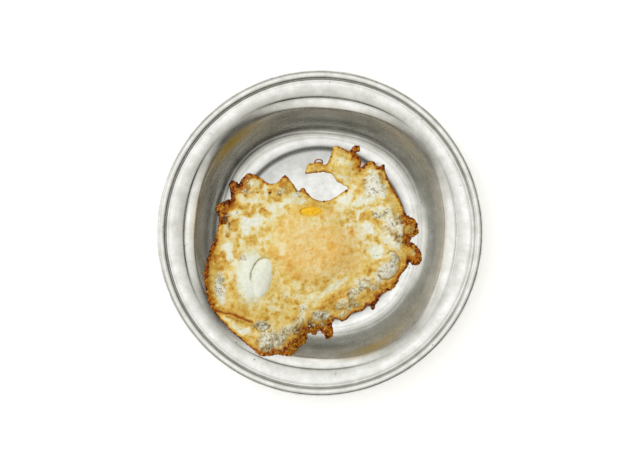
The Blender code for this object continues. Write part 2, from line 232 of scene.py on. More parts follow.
# The egg's edge, clockwise. Each stretch has the width of its browned crust, how dark that is from
# 0 to 1, and its points.
EDGE = {
    "dark tip": (2.4, 0.97, (
        (-44.9, 17.4), (-45.0, 20.0), (-45.3, 22.5), (-45.8, 23.8), (-45.3, 25.6), (-43.6, 26.5),
        (-42.0, 25.7), (-40.6, 25.0))),
    "crown": (1.7, 0.86, (
        (-39.9, 26.6), (-38.4, 28.2), (-37.2, 29.5), (-35.8, 30.1), (-33.6, 29.7), (-31.6, 29.0))),
    "crown's right": (0.7, 0.72, (
        (-30.3, 28.2), (-28.6, 27.2), (-27.6, 26.1), (-26.0, 25.2), (-24.4, 24.9))),
    "second crown": (0.55, 0.66, (
        (-22.2, 25.2), (-20.4, 26.6), (-19.2, 28.0), (-17.9, 28.8), (-16.4, 28.4), (-15.2, 26.9),
        (-13.9, 25.3), (-12.8, 23.8), (-11.9, 22.4), (-11.0, 21.3))),
    "small bump": (0.9, 0.78, (
        (-10.2, 21.6), (-9.4, 22.5), (-8.4, 22.9), (-7.4, 22.1), (-6.9, 20.8), (-5.9, 20.1), (-5.3, 19.2))),
    "bite": (0.35, 0.66, (
        (-4.2, 18.1), (-2.7, 17.2), (-0.7, 16.5), (1.2, 16.1), (3.5, 16.4), (5.6, 16.9), (7.3, 18.0),
        (9.0, 18.9), (10.9, 20.3), (12.3, 21.2), (13.9, 22.2), (13.6, 23.3), (12.0, 23.9), (10.3, 25.0),
        (8.6, 25.9), (7.7, 27.4), (6.5, 29.0), (5.3, 30.0))),
    "hook's underside": (0.6, 0.76, (
        (3.5, 30.3), (1.5, 30.8), (0.0, 30.5), (-3.0, 30.3), (-5.5, 29.9), (-7.4, 29.9))),
    "hook": (0.6, 0.66, (
        (-7.3, 31.2), (-6.8, 33.0), (-6.3, 34.6), (-5.0, 35.1), (-3.6, 35.2), (-2.0, 35.7), (-0.4, 35.9),
        (1.0, 35.5), (1.8, 34.5), (3.0, 34.6))),
    "top lobe": (0.5, 0.68, (
        (3.9, 35.4), (4.6, 37.0), (5.2, 38.6), (5.8, 40.2), (6.2, 41.9), (6.4, 43.0), (7.2, 43.7),
        (8.5, 43.9))),
    "top lobe's right": (0.7, 0.88, ((10.0, 43.4), (11.6, 42.7), (13.2, 41.7), (14.3, 41.1))),
    "burnt tip": (3.4, 0.86, (
        (14.9, 41.6), (15.9, 42.6), (16.9, 43.6), (17.9, 44.4), (18.5, 43.8), (19.4, 44.8), (19.8, 43.9),
        (19.9, 42.9), (20.5, 41.7), (19.8, 41.0), (18.7, 40.8), (18.3, 40.2))),
    "lobe's flank": (2.2, 0.84, ((19.4, 39.2), (20.2, 37.6), (20.9, 36.1), (20.9, 34.5), (20.3, 33.3))),
    "right shoulder": (1.5, 0.84, (
        (21.4, 33.6), (22.5, 34.9), (23.8, 35.9), (25.5, 36.4), (27.2, 36.0), (28.1, 34.9), (28.8, 33.9))),
    "second tip": (2.6, 0.88, ((30.0, 33.6), (31.0, 34.3), (31.9, 34.8), (32.6, 34.0), (32.6, 32.6))),
    "long right edge": (1.0, 0.86, (
        (33.0, 30.9), (33.7, 29.0), (34.4, 27.2), (35.5, 24.9), (36.6, 22.6), (37.9, 20.2), (39.4, 18.1),
        (40.5, 16.0), (41.5, 13.7), (42.5, 11.0))),
    "upper right lobe": (4.4, 0.84, (
        (43.5, 9.3), (44.9, 8.5), (46.9, 7.5), (48.3, 5.9), (49.0, 3.9), (49.4, 1.6), (49.5, 0.0),
        (48.6, -0.9), (47.0, -1.8), (45.9, -2.8), (45.3, -3.6))),
    "lower right lobe": (3.2, 0.86, (
        (45.9, -4.5), (47.3, -5.2), (48.6, -6.3), (49.8, -7.9), (50.7, -9.6), (51.2, -11.8), (51.0, -13.9),
        (49.9, -15.6), (48.0, -16.4), (46.4, -15.9), (45.1, -14.7))),
    "lower right edge": (1.8, 0.84, (
        (43.9, -17.0), (42.2, -19.2), (40.9, -20.6), (40.0, -21.9), (39.4, -24.0), (38.1, -26.3),
        (36.9, -27.8), (35.2, -28.9), (33.2, -29.7), (31.5, -30.6))),
    "right drip": (2.6, 0.93, (
        (30.4, -32.0), (29.5, -33.7), (28.3, -35.2), (27.7, -36.5), (27.3, -38.0), (26.4, -38.8),
        (25.5, -38.0), (24.9, -36.8))),
    "lower edge": (1.3, 0.84, (
        (23.9, -36.5), (22.9, -37.6), (21.8, -38.7), (20.0, -39.5), (17.8, -39.9), (15.8, -40.5),
        (15.1, -41.6), (14.1, -42.8), (12.8, -43.8), (11.2, -44.4), (9.8, -43.9), (8.3, -43.2),
        (7.1, -43.2))),
    "drips": (4.0, 0.8, (
        (6.5, -44.5), (6.2, -46.5), (6.6, -48.7), (6.8, -50.5), (6.1, -52.2), (4.6, -53.2), (2.9, -52.7),
        (2.1, -51.2), (1.2, -50.2), (0.0, -49.2), (-0.9, -49.1), (-1.4, -50.2), (-2.4, -51.2),
        (-3.8, -51.2), (-4.6, -50.0), (-5.4, -50.0))),
    "burnt foot": (6.4, 0.77, (
        (-6.1, -50.8), (-6.2, -52.0), (-6.8, -54.0), (-8.0, -55.7), (-9.8, -56.9), (-11.0, -58.2),
        (-12.2, -59.6), (-13.4, -60.9), (-15.2, -61.5), (-16.6, -61.6), (-18.0, -61.2))),
    "foot": (3.0, 0.8, (
        (-20.0, -60.9), (-22.3, -60.8), (-24.0, -61.2), (-26.2, -61.6), (-28.4, -61.6), (-30.4, -61.1),
        (-31.8, -60.0))),
    "folded edge": (0.9, 0.9, (
        (-33.0, -58.6), (-34.6, -57.4), (-36.8, -55.5), (-38.9, -53.9), (-40.8, -52.2), (-42.8, -50.6),
        (-44.6, -49.2), (-46.1, -47.4), (-47.4, -45.6), (-48.8, -44.4), (-50.4, -42.9), (-51.8, -41.2),
        (-53.2, -39.3))),
    "left edge": (2.2, 0.85, (
        (-54.6, -37.4), (-55.7, -35.2), (-56.5, -32.0), (-57.3, -28.6), (-57.9, -25.0), (-58.1, -21.5),
        (-57.7, -18.2), (-57.0, -14.6), (-56.1, -10.6), (-55.0, -7.4), (-53.9, -4.8), (-52.9, -2.4))),
    "upper left edge": (1.1, 0.74, ((-52.2, -0.5), (-51.7, 1.3), (-51.3, 3.8))),
    "left lobe": (5.0, 0.84, (
        (-50.8, 5.9), (-51.1, 8.0), (-51.7, 10.3), (-52.4, 12.2), (-51.8, 14.0), (-50.1, 15.3),
        (-48.0, 16.3), (-46.0, 17.1))),
}

# Places on the upper face: middle x and y, half sizes, turn in degrees, strength.
MILKY = (
    (-43.5, 9.8, 4.2, 1.5, 15, 0.9), (-35.0, 5.8, 5.6, 2.2, -8, 1.0), (-36.9, 2.2, 2.3, 3.4, 10, 1.0),
    (-30.2, 6.4, 3.4, 1.8, 15, 0.85), (-39.2, 17.4, 3.4, 1.6, -30, 0.7), (-34.0, 16.2, 3.8, 1.2, 0, 0.7),
    (-32.8, 25.2, 2.2, 2.4, 0, 0.6), (-27.0, 21.0, 1.1, 4.2, 5, 0.65), (-19.0, 14.9, 7.0, 1.6, 20, 0.7),
    (-24.0, 12.4, 3.4, 2.0, -40, 0.75), (-24.5, 6.0, 3.0, 3.0, 0, 0.45), (-13.0, 17.6, 1.5, 3.2, -20, 0.6),
    (12.6, 16.8, 4.2, 2.6, 10, 0.95), (19.6, 15.3, 3.4, 2.0, 20, 0.8), (24.5, 16.6, 3.6, 2.2, 0, 0.75),
    (10.0, 12.6, 2.6, 2.2, 0, 0.6), (2.6, 10.6, 2.4, 1.8, 20, 0.4), (-13.4, 12.4, 2.4, 1.6, 30, 0.3),
    (5.2, 8.2, 3.2, 1.2, 10, 0.5), (24.2, 2.6, 3.8, 2.0, -42, 0.95),
    (29.4, 12.4, 3.8, 1.4, 10, 0.7), (31.4, 19.2, 1.6, 2.1, 0, 1.1), (26.8, 23.5, 3.4, 6.0, 0, 0.6),
    (28.7, -9.6, 3.2, 3.5, 0, 1.15), (20.8, -1.2, 2.6, 2.6, 0, 0.55), (38.6, -6.2, 3.4, 1.5, -35, 0.8),
    (40.3, 0.6, 1.0, 5.2, 8, 0.8), (33.2, -2.8, 3.6, 1.8, 0, 0.65), (35.0, 6.4, 3.2, 1.4, -30, 0.75),
    (10.6, 36.8, 2.4, 1.5, 0, 0.55), (14.4, 35.4, 2.2, 1.2, 0, 0.45), (27.0, 30.5, 1.6, 1.2, 0, 0.6),
    (36.2, 8.0, 4.4, 1.3, -38, 0.45), (33.4, 4.6, 4.4, 1.1, -35, 0.4), (-10.0, 3.0, 7.0, 4.0, 10, 0.22),
    (-12.4, 15.2, 3.4, 2.2, 0, 0.3), (-41.0, -48.4, 2.8, 1.3, -35, 0.6), (12.0, 29.6, 2.6, 3.2, 0, 0.3),
    (17.6, -28.2, 1.6, 1.2, 30, 0.6), (12.0, -34.0, 1.8, 1.2, 0, 0.5), (24.4, -22.4, 2.4, 1.2, 20, 0.5),
    (-46.8, -7.3, 3.2, 2.2, -20, 1.0), (-45.4, -11.6, 2.0, 2.2, 0, 0.9), (-42.6, -16.2, 1.8, 3.4, 0, 0.65),
    (-44.6, -21.0, 1.2, 3.0, 0, 0.6), (-50.0, -29.8, 2.2, 5.2, 15, 0.7), (-46.6, -43.0, 2.8, 1.2, -30, 0.7),
    (-43.6, -45.8, 1.8, 1.5, -20, 0.7), (-37.6, -49.0, 3.0, 1.8, 20, 1.0), (-24.0, -37.6, 4.2, 1.4, -10, 0.5),
    (-26.4, -34.2, 4.0, 1.0, 0, 0.45), (-17.2, -28.8, 2.8, 2.8, 0, 0.4), (-11.6, -26.0, 3.2, 2.2, 0, 0.5),
    (-18.6, -8.0, 1.7, 3.6, 0, 0.7), (-21.8, -3.6, 1.2, 3.2, 0, 0.4), (-5.0, -33.5, 4.2, 1.3, 35, 0.45),
    (1.5, -30.6, 4.2, 1.3, 33, 0.5), (7.0, -26.4, 4.2, 1.7, 38, 0.85), (11.6, -23.6, 3.0, 1.3, 25, 0.6),
    (-8.0, -36.6, 2.0, 2.0, 0, 0.6), (-9.4, -42.0, 3.4, 1.4, 50, 0.6), (-14.5, -45.6, 3.2, 1.4, 20, 0.5),
    (-28.0, -1.0, 1.4, 2.6, -30, 0.3), (-6.0, -17.6, 3.0, 1.6, 20, 0.35), (2.0, -20.2, 3.0, 1.4, 0, 0.35),
    (-21.4, -17.6, 1.2, 3.6, 15, 0.45), (19.0, -24.6, 2.2, 2.0, 0, 0.5), (-20.4, 9.6, 4.0, 1.2, 30, 0.4),
)
BROWNED = (
    (-36.4, 23.2, 1.9, 1.7, 0, 0.34), (-38.4, 19.3, 3.2, 1.0, 0, 0.34), (-31.3, 20.5, 0.9, 0.8, 0, 0.5),
    (-34.4, 20.2, 1.0, 0.7, 0, 0.3), (-29.6, 24.4, 1.2, 2.3, -20, 0.42), (-29.0, 26.4, 1.0, 1.2, 0, 0.42),
    (-40.6, 22.6, 1.9, 1.5, 35, 0.4), (-25.0, 20.4, 0.75, 0.6, 0, 1.2), (-24.0, 21.4, 2.3, 1.3, 20, 0.48),
    (-25.2, 18.0, 1.2, 2.2, -20, 0.4), (-20.8, 16.3, 2.6, 1.4, -15, 0.48), (-17.0, 20.4, 1.4, 2.4, 20, 0.3),
    (-15.9, 19.5, 0.7, 0.6, 0, 0.6), (-18.0, 26.3, 2.4, 2.0, 0, 0.38), (-17.4, 23.4, 3.0, 1.2, 0, 0.32),
    (-8.5, 21.0, 1.4, 1.5, 0, 0.42), (-10.0, 18.8, 1.0, 0.8, 0, 0.5), (-6.9, 17.8, 1.2, 1.2, 0, 0.42),
    (-38.0, 13.0, 3.0, 1.2, -5, 0.36), (-33.3, 11.8, 1.2, 2.4, -10, 0.5), (-28.6, 11.8, 2.1, 1.2, -15, 0.42),
    (-36.4, 9.4, 2.7, 1.5, -30, 0.34), (-30.8, 15.6, 0.8, 2.0, 0, 0.25), (-42.4, 6.0, 2.8, 1.3, 0, 0.44),
    (-44.0, 2.6, 3.0, 2.1, 30, 0.44), (-29.2, 1.0, 2.6, 1.7, 45, 0.42), (-33.5, -2.0, 4.0, 1.5, 0, 0.28),
    (-46.7, -1.4, 1.0, 0.9, 0, 0.75), (-46.0, 0.4, 1.5, 1.0, 0, 0.3), (-49.2, 1.8, 1.0, 3.0, 0, 0.42),
    (-47.0, 6.8, 0.9, 1.3, 0, 0.5), (-42.8, 13.5, 2.4, 1.2, 20, 0.3), (-47.0, 12.2, 2.0, 1.0, 20, 0.5),
    (-27.2, 9.2, 0.8, 1.5, 0, 0.3), (-25.4, 8.6, 0.7, 1.8, 0, 0.3), (15.8, 9.2, 2.5, 2.1, 0, 0.42),
    (23.0, 9.2, 1.6, 2.2, 0, 0.45), (25.6, 11.7, 3.4, 0.9, 5, 0.32), (10.9, 5.2, 1.3, 1.9, 15, 0.5),
    (8.8, 5.5, 1.0, 0.8, 0, 0.4), (15.7, 1.5, 1.0, 2.7, 0, 0.42), (18.2, 3.6, 1.6, 0.8, 0, 0.22),
    (30.5, 4.2, 2.0, 2.4, 0, 0.42), (36.0, 0.3, 1.9, 1.3, -25, 0.45), (29.0, -3.4, 2.4, 1.5, -15, 0.45),
    (20.0, 22.0, 2.0, 3.0, 0, 0.22), (17.5, 18.2, 1.1, 2.6, -10, 0.3), (12.4, 30.2, 3.0, 1.2, 0, 0.28),
    (10.0, 39.4, 2.2, 1.4, 0, 0.28), (17.3, 37.7, 1.4, 2.2, -30, 0.42), (15.9, 35.7, 0.9, 0.5, 0, 0.5),
    (16.5, 32.4, 0.8, 0.5, 0, 0.55), (21.0, 26.4, 0.6, 0.55, 0, 0.8), (24.0, 18.3, 0.9, 0.8, 0, 0.4),
    (26.5, 17.0, 0.8, 0.7, 0, 0.3), (38.2, 11.4, 2.4, 1.4, 10, 0.5), (36.4, 8.8, 2.0, 1.0, 15, 0.42),
    (31.0, 14.5, 2.6, 1.0, 0, 0.32), (34.0, 15.8, 1.4, 0.8, 0, 0.36), (39.4, 7.4, 2.0, 1.4, 0, 0.32),
    (38.5, 5.3, 0.6, 0.6, 0, 0.75), (30.2, 29.0, 1.1, 2.0, 0, 0.42), (31.6, 26.0, 1.0, 2.2, 0, 0.42),
    (24.6, 34.0, 2.2, 1.0, 10, 0.32), (21.0, 29.5, 1.0, 1.0, 0, 0.36), (-0.5, 33.6, 1.6, 1.4, 0, 0.44),
    (3.0, 33.4, 1.6, 1.4, 0, 0.22), (-4.8, 33.0, 2.0, 1.5, 0, 0.16), (5.0, 12.0, 2.1, 1.4, 0, 0.34),
    (7.6, 15.6, 2.0, 0.8, 10, 0.3), (-41.2, -4.6, 0.9, 3.0, 5, 0.45), (-42.5, -10.6, 0.9, 2.6, 0, 0.55),
    (-48.8, -11.0, 2.2, 1.8, 0, 0.58), (-52.0, -12.6, 1.4, 2.0, 0, 0.38), (-46.0, -14.2, 2.2, 1.2, 10, 0.55),
    (-51.0, -17.0, 2.8, 2.6, 0, 0.28), (-43.3, -22.2, 0.7, 3.0, 0, 0.4), (-47.8, -26.8, 0.9, 1.0, 0, 0.5),
    (-43.6, -27.6, 1.8, 2.2, 0, 0.46), (-42.4, -30.4, 1.4, 1.1, 0, 0.32), (-34.0, -4.2, 3.4, 2.6, 0, 0.28),
    (-24.0, -10.4, 2.2, 2.2, 0, 0.22), (-21.4, -12.6, 2.2, 1.4, 0, 0.28), (-53.6, -34.0, 1.5, 2.2, 10, 0.4),
    (-48.2, -37.8, 2.5, 0.9, -20, 0.5), (-39.7, -43.6, 1.7, 2.0, 0, 0.52), (-44.0, -37.0, 1.2, 2.0, 0, 0.3),
    (-37.0, -37.4, 2.0, 2.8, 0, 0.2), (-35.6, -52.6, 2.2, 1.4, 0, 0.42), (-31.4, -55.2, 1.0, 2.2, 10, 0.5),
    (-32.4, -58.6, 1.3, 1.3, 0, 0.52), (-33.0, -47.4, 1.0, 2.3, -15, 0.38), (-22.6, -40.3, 1.5, 0.7, 0, 0.42),
    (-17.0, -42.5, 1.6, 0.9, 0, 0.4), (-28.0, -42.6, 4.0, 1.0, -5, 0.3), (-11.0, -35.0, 4.0, 0.9, 0, 0.28),
    (-8.4, -30.3, 2.4, 0.6, 0, 0.34), (-17.2, -24.0, 2.2, 0.8, -40, 0.24), (-12.0, -21.6, 2.0, 2.2, 0, 0.3),
    (-15.0, -17.0, 2.0, 2.2, 0, 0.28), (3.0, -24.6, 1.6, 1.1, 0, 0.3), (5.8, -6.6, 2.3, 2.2, -30, 0.46),
    (17.4, -8.4, 3.0, 1.2, 0, 0.34), (-2.4, -8.9, 1.0, 0.6, 0, 0.3), (3.6, -15.6, 4.0, 2.2, 0, 0.18),
    (24.0, -19.0, 2.4, 1.8, 0, 0.32), (27.0, -16.8, 2.4, 2.0, 20, 0.38), (12.2, -28.6, 4.0, 1.3, 35, 0.36),
    (8.2, -32.2, 4.0, 1.6, 15, 0.42), (3.6, -35.2, 3.2, 1.8, 20, 0.46), (0.0, -37.8, 3.2, 0.7, 10, 0.55),
    (15.2, -27.0, 2.0, 0.9, 40, 0.34), (18.2, -36.4, 3.4, 1.4, -5, 0.55), (22.6, -32.2, 1.7, 1.3, 0, 0.42),
    (24.6, -31.6, 0.8, 1.6, 0, 0.55), (27.6, -30.0, 1.5, 1.7, 0, 0.55), (34.0, -28.2, 2.8, 1.0, 15, 0.5),
    (33.4, -25.4, 1.0, 0.8, 0, 0.42), (36.4, -25.0, 1.2, 1.4, 0, 0.42), (6.2, -37.0, 2.0, 1.4, 0, 0.38),
    (8.6, -39.2, 1.8, 1.8, 0, 0.34), (5.0, -43.6, 1.2, 2.4, 0, 0.52), (-5.0, -43.2, 1.0, 3.0, 0, 0.38),
    (-3.4, -47.0, 2.0, 2.6, 0, 0.5), (44.0, -12.6, 1.1, 0.7, -15, 0.5), (-20.0, 4.0, 1.8, 3.2, 10, 0.2),
    (-19.0, 8.0, 2.6, 1.4, 35, 0.22), (-14.6, 12.0, 1.8, 1.0, 0, 0.26), (-15.0, 1.0, 2.0, 4.0, 0, 0.14),
    (16.5, -33.4, 1.8, 1.0, 30, 0.62), (11.5, -38.0, 1.8, 0.9, 0, 0.62), (20.8, -27.8, 1.6, 0.9, 40, 0.58),
    (24.4, -28.8, 1.2, 1.8, 0, 0.62), (13.6, -31.0, 1.6, 0.8, 30, 0.55), (31.2, -26.8, 1.6, 1.0, 20, 0.55),
)
FROTHY = (
    (-29.0, -46.4, 4.0, 2.4, 0, 1.0), (-24.4, -53.4, 6.6, 4.6, -10, 0.9), (-27.5, -57.0, 3.0, 2.2, 0, 0.8),
    (-15.2, -48.2, 4.8, 2.2, 20, 0.75), (-19.0, -51.5, 2.6, 2.2, 0, 0.6), (0.6, -41.2, 4.4, 2.4, 0, 0.9),
    (-10.6, -44.4, 2.2, 3.6, -40, 0.55), (22.4, -25.6, 4.2, 3.0, 0, 0.65), (16.0, -31.4, 2.6, 4.0, -15, 0.75),
    (14.4, -37.2, 1.2, 1.8, 0, 0.55), (26.2, 24.6, 4.4, 6.6, 0, 0.7), (-47.0, 8.0, 2.8, 1.3, 50, 0.75),
    (-50.0, -29.0, 2.6, 7.4, 15, 0.65), (-50.6, -22.8, 2.4, 2.4, 0, 0.55), (40.4, 3.0, 1.5, 6.0, 12, 0.7),
    (33.6, 8.6, 3.0, 2.0, -35, 0.6), (11.6, -41.2, 2.2, 1.3, 0, 0.5), (-38.6, -12.2, 1.9, 1.3, 20, 0.55),
    (-11.6, 20.8, 1.1, 2.4, 0, 0.8), (-19.8, 20.4, 2.1, 1.9, 0, 0.55), (36.6, 5.6, 3.0, 1.3, -30, 0.6),
    (-8.2, -38.2, 1.6, 1.8, 0, 0.5), (1.6, -46.0, 2.0, 1.2, 0, 0.5), (32.0, 22.0, 1.2, 2.2, 0, 0.5),
    (-12.0, -49.6, 2.0, 1.2, 0, 0.7), (-43.4, 9.8, 2.6, 1.0, 15, 0.4), (-34.6, 25.4, 2.2, 2.0, 0, 0.45),
    (-36.6, 20.6, 3.0, 1.4, 10, 0.4), (-18.4, 21.4, 1.6, 1.8, 0, 0.4), (38.4, -2.6, 2.2, 5.2, 8, 0.65),
    (36.0, 4.0, 4.2, 5.4, -20, 0.6),
    (35.0, 10.2, 3.4, 1.8, -35, 0.5), (28.6, 9.2, 2.4, 1.4, 0, 0.4), (19.4, -28.8, 2.4, 2.0, 30, 0.6),
    (10.2, -35.8, 3.4, 1.8, 30, 0.6), (28.6, -26.2, 2.8, 1.8, 30, 0.45), (-4.4, -45.4, 1.8, 2.2, 0, 0.55),
    (-46.0, 2.8, 1.4, 3.2, 0, 0.45), (17.4, -36.0, 2.2, 1.4, 0, 0.5),
)
# Where the white stayed pale between its browned spots.
PALE = (
    (-36.0, 4.0, 15.0, 11.0, 0, 1.0), (-26.0, 14.0, 10.0, 8.0, 10, 0.9), (-12.0, 17.5, 6.0, 3.0, 0, 1.0),
    (24.0, 6.0, 13.0, 16.0, 0, 1.0), (20.0, 18.0, 9.0, 7.0, 0, 1.0), (27.0, 26.0, 6.0, 9.0, 10, 1.0),
    (12.0, 29.0, 5.0, 6.0, 0, 0.6), (10.0, 38.0, 4.0, 3.5, 0, 0.6), (36.0, 2.0, 6.0, 12.0, 0, 0.8),
    (-46.0, -9.0, 4.0, 8.0, 0, 0.7), (-50.0, -28.0, 4.0, 10.0, 0, 0.8), (-8.0, -32.0, 12.0, 5.0, 20, 0.7),
    (-22.0, -34.0, 8.0, 4.0, 0, 0.5), (-38.0, -50.0, 5.0, 3.0, -35, 0.8), (-2.0, 0.0, 14.0, 8.0, 0, 0.5),
    (2.0, -17.0, 12.0, 4.0, 10, 0.4), (28.0, -8.0, 7.0, 7.0, 0, 0.7),
)
# Where the white is a shade browner all over.
TANNED = (
    (-36.0, 24.0, 8.0, 4.5, 20, 0.7), (-34.0, 13.0, 8.0, 5.0, 0, 0.6), (-18.0, 23.0, 6.0, 5.0, 0, 0.45),
    (-50.0, -13.0, 4.0, 6.0, 0, 0.6), (-20.0, -38.0, 12.0, 4.0, 0, 0.6), (-40.0, -40.0, 7.0, 3.0, -20, 0.6),
    (48.0, 3.0, 4.0, 6.0, 0, 0.9), (48.0, -11.0, 4.0, 5.0, 0, 1.0), (10.0, -33.0, 9.0, 4.0, 30, 0.6),
    (-48.5, 12.0, 4.0, 4.0, 0, 0.6), (-4.0, -30.0, 9.0, 4.0, 20, 0.3),
)
CLEAR = (
    (33.6, -18.4, 5.6, 4.0, 35, 0.9), (37.2, -12.8, 2.4, 3.6, 10, 0.9), (31.4, -21.4, 3.6, 2.2, 20, 0.8),
    (46.4, -9.0, 1.6, 1.6, 0, 0.4), (23.0, -26.0, 2.0, 1.6, 0, 0.5), (45.6, 2.0, 1.6, 2.2, 0, 0.35),
)
CURD_LEFT = (-34.6, -21.8, 7.0, 12.0, 0, 1.0)
CURD_RIGHT = (-29.5, -22.3, 5.1, 10.2, -11, 1.0)
YOLK_GLOW = (
    (-2.0, -8.0, 20.0, 12.0, 0, 1.0), (4.0, -14.0, 17.0, 8.0, 10, 0.9), (-14.0, 1.0, 9.0, 7.0, 20, 0.7),
    (-8.0, -18.0, 12.0, 6.0, -10, 0.6), (13.0, -12.0, 9.0, 8.0, 0, 0.7),
    (14.0, -2.0, 7.0, 6.0, 0, 0.8), (4.4, 10.0, 4.6, 2.8, 0, 0.9),
)
WINDOW = (-5.0, 11.1, 6.1, 2.25, 3, 1.0)
# Where the white over the yolk is so thin that the yolk shines through it.
THIN = (
    (-5.4, 11.3, 7.6, 3.3, 4, 1.0), (-10.4, 11.6, 3.2, 1.6, 0, 0.8), (7.2, 4.6, 2.2, 2.0, 0, 0.5),
    (5.6, -6.8, 2.2, 1.6, -30, 0.55), (1.2, 12.2, 2.4, 1.4, 10, 0.7),
)

# Lines on the upper face: width, how far it is sunk, darkness, points. The darkness is browning along the
# folds and painted shade in the creases.
CREASES = (
    (0.9, 0.8, 0.84, ((-53.6, -38.4), (-50.5, -39.2), (-47.5, -40.1), (-44.8, -40.4), (-42.6, -41.0),
                      (-40.0, -42.0), (-38.0, -42.8), (-35.4, -44.2), (-33.6, -44.6))),
    (1.2, 0.0, 0.58, ((-52.6, -37.4), (-49.5, -37.8), (-46.5, -38.8), (-43.8, -39.4), (-40.6, -40.9),
                      (-37.6, -42.4))),
    (1.0, 0.0, 0.6, ((-46.8, -41.6), (-43.4, -42.2), (-40.4, -43.4), (-38.4, -44.6))),
    (0.45, 0.5, 0.55, ((-25.2, -13.0), (-26.4, -12.2), (-28.2, -12.2), (-31.0, -13.3), (-33.2, -16.2),
                       (-34.5, -19.6), (-34.9, -23.4))),
    (0.5, 0.35, 0.66, ((-33.4, -44.8), (-32.6, -47.4), (-30.8, -49.0), (-28.0, -49.0), (-25.6, -47.4),
                       (-24.8, -46.0))),
    (0.4, 0.3, 0.6, ((20.0, -24.2), (20.6, -26.6), (22.6, -28.0), (24.9, -27.6), (25.6, -25.6),
                     (24.6, -23.9), (22.0, -23.6))),
    (0.5, 0.5, 0.66, ((34.0, -10.6), (35.2, -8.8), (37.4, -9.2), (39.2, -11.6), (40.4, -14.8),
                      (39.8, -18.2), (37.4, -21.6), (34.0, -23.4), (31.0, -23.0), (29.2, -20.8))),
    (0.35, 0.3, 0.55, ((35.2, -12.4), (35.8, -14.2), (37.4, -14.8), (38.4, -13.0), (37.6, -11.0),
                       (36.0, -10.8), (35.2, -12.4))),
    (0.45, 0.35, 0.62, ((-26.0, 22.2), (-25.2, 19.8), (-24.0, 17.6), (-21.8, 16.0), (-18.6, 15.8))),
    (0.35, 0.3, 0.5, ((-22.4, -15.0), (-20.4, -18.6), (-18.2, -22.0), (-15.4, -24.4))),
    (0.35, 0.3, 0.5, ((-12.0, -30.2), (-9.0, -29.8), (-5.4, -30.4), (-2.6, -29.2), (-0.4, -28.8))),
    (0.4, 0.3, 0.58, ((-31.0, 28.0), (-30.0, 25.4), (-29.2, 22.6), (-30.6, 20.6), (-33.4, 20.4))),
    (0.4, 0.4, 0.8, ((42.6, -6.2), (42.0, -3.0), (42.2, 0.4), (42.4, 3.6), (44.4, 4.6), (46.6, 4.4))),
    (0.4, 0.3, 0.7, ((40.6, -7.4), (42.4, -9.4), (44.0, -10.2), (43.4, -12.4), (45.4, -13.2))),
)
# Burnt specks: x, y, size.
SPECKS = (
    (-25.0, 20.4, 0.85), (9.3, -2.0, 0.5), (-4.6, -10.1, 0.5), (-6.9, -9.1, 0.4), (-14.6, -7.4, 0.4),
    (-12.6, -8.2, 0.4), (33.1, -5.6, 0.7), (42.8, -5.6, 0.8), (21.0, 26.4, 0.55), (-31.4, 20.6, 0.55),
    (-15.9, 19.5, 0.5), (-12.6, 9.4, 0.45), (-15.8, 9.8, 0.35), (-46.7, -1.5, 0.6), (-50.8, -23.6, 0.55),
    (-51.6, -27.8, 0.5), (-47.8, -26.9, 0.4), (-2.2, -41.0, 0.65), (1.4, -40.7, 0.8), (1.0, -43.9, 0.4),
    (30.0, 7.8, 0.45), (32.8, 10.2, 0.6), (34.6, 7.0, 0.55), (36.6, 5.2, 0.5), (38.5, 5.4, 0.5),
    (40.0, -1.2, 0.5), (40.3, -6.4, 0.5), (31.6, 20.8, 0.45), (27.0, -23.0, 0.5), (33.2, -25.6, 0.5),
    (-46.6, 7.2, 0.5), (-47.9, 5.0, 0.4), (16.4, 32.4, 0.4), (-48.6, -37.4, 0.5), (-30.9, -46.4, 0.5),
    (-28.2, -47.6, 0.45), (-6.0, 14.2, 0.35), (-13.6, -49.0, 0.6), (-14.4, -50.2, 0.5), (44.4, 1.0, 0.7),
    (43.2, -0.6, 0.6), (8.0, -42.9, 0.7), (13.6, -37.4, 0.5), (6.2, 42.0, 0.6),
)

# The egg's underside lies level, and towards one side it climbs the wall.
LEVEL = FLOOR + CENTRE_RAISE + GAP
RAMP_DIRECTION = math.radians(238)
RAMP_START = 27.0
RAMP_END = 60.0
RAMP_RISE = 12.5
RAMP_WIDTH = (16.0, 32.0)
# The white's thickness near its edge and farther in than the given width. Its rim is rounded.
RIM_THICKNESS = 1.2
WHITE_THICKNESS = 4.0
THICKENS_OVER = 8
RIM_ROUNDING = 1.3
DOME_RISE = 4.1
CURD_RISE = (1.2, 1.8)
FLAP_DEPTH = 1.5
THINNEST = 0.28
YOLK_CENTRE = (-4.0, -5.9)
YOLK_SIZE = (21.0, 19.5)
YOLK_MIDDLE = LEVEL + 3.7
YOLK_UP = 3.6
YOLK_DOWN = 2.9
# Steps along the egg's edge, along its crust and along a crease, and how far the edge is nicked. The
# freckles are small browned spots all over the white.
EDGE_STEP = 0.12
CRUST_STEP = 0.4
CREASE_STEP = 0.25
RAG = 0.32
FRECKLE_SPACING = 3.9
LOOP_CENTRE = (-0.7, 35.5, LEVEL + 0.9)
LOOP_RADIUS = 1.6
LOOP_TUBE = 0.28
FOLD_START = (-53.5, -38.6)
FOLD_END = (-28.0, -47.6)
# Starts of the random draws.
WHITE_SEED = 5
FROTH_SEED = 11
CRUST_SEED = 12
SPECK_SEED = 13


def reach(x, y, place):
    """Return 0 in the middle of a place and 1 on its edge."""
    turn = math.radians(place[4])
    along = (x - place[0]) * math.cos(turn) + (y - place[1]) * math.sin(turn)
    across = (y - place[1]) * math.cos(turn) - (x - place[0]) * math.sin(turn)
    return np.hypot(along / place[2], across / place[3])


def cover(x, y, places, soft=0.45):
    """How strongly each point lies in any of the places."""
    total = np.zeros_like(x)
    for place in places:
        total = np.maximum(total, place[5] * (1 - smooth_step(1 - soft, 1 + soft, reach(x, y, place))))
    return total


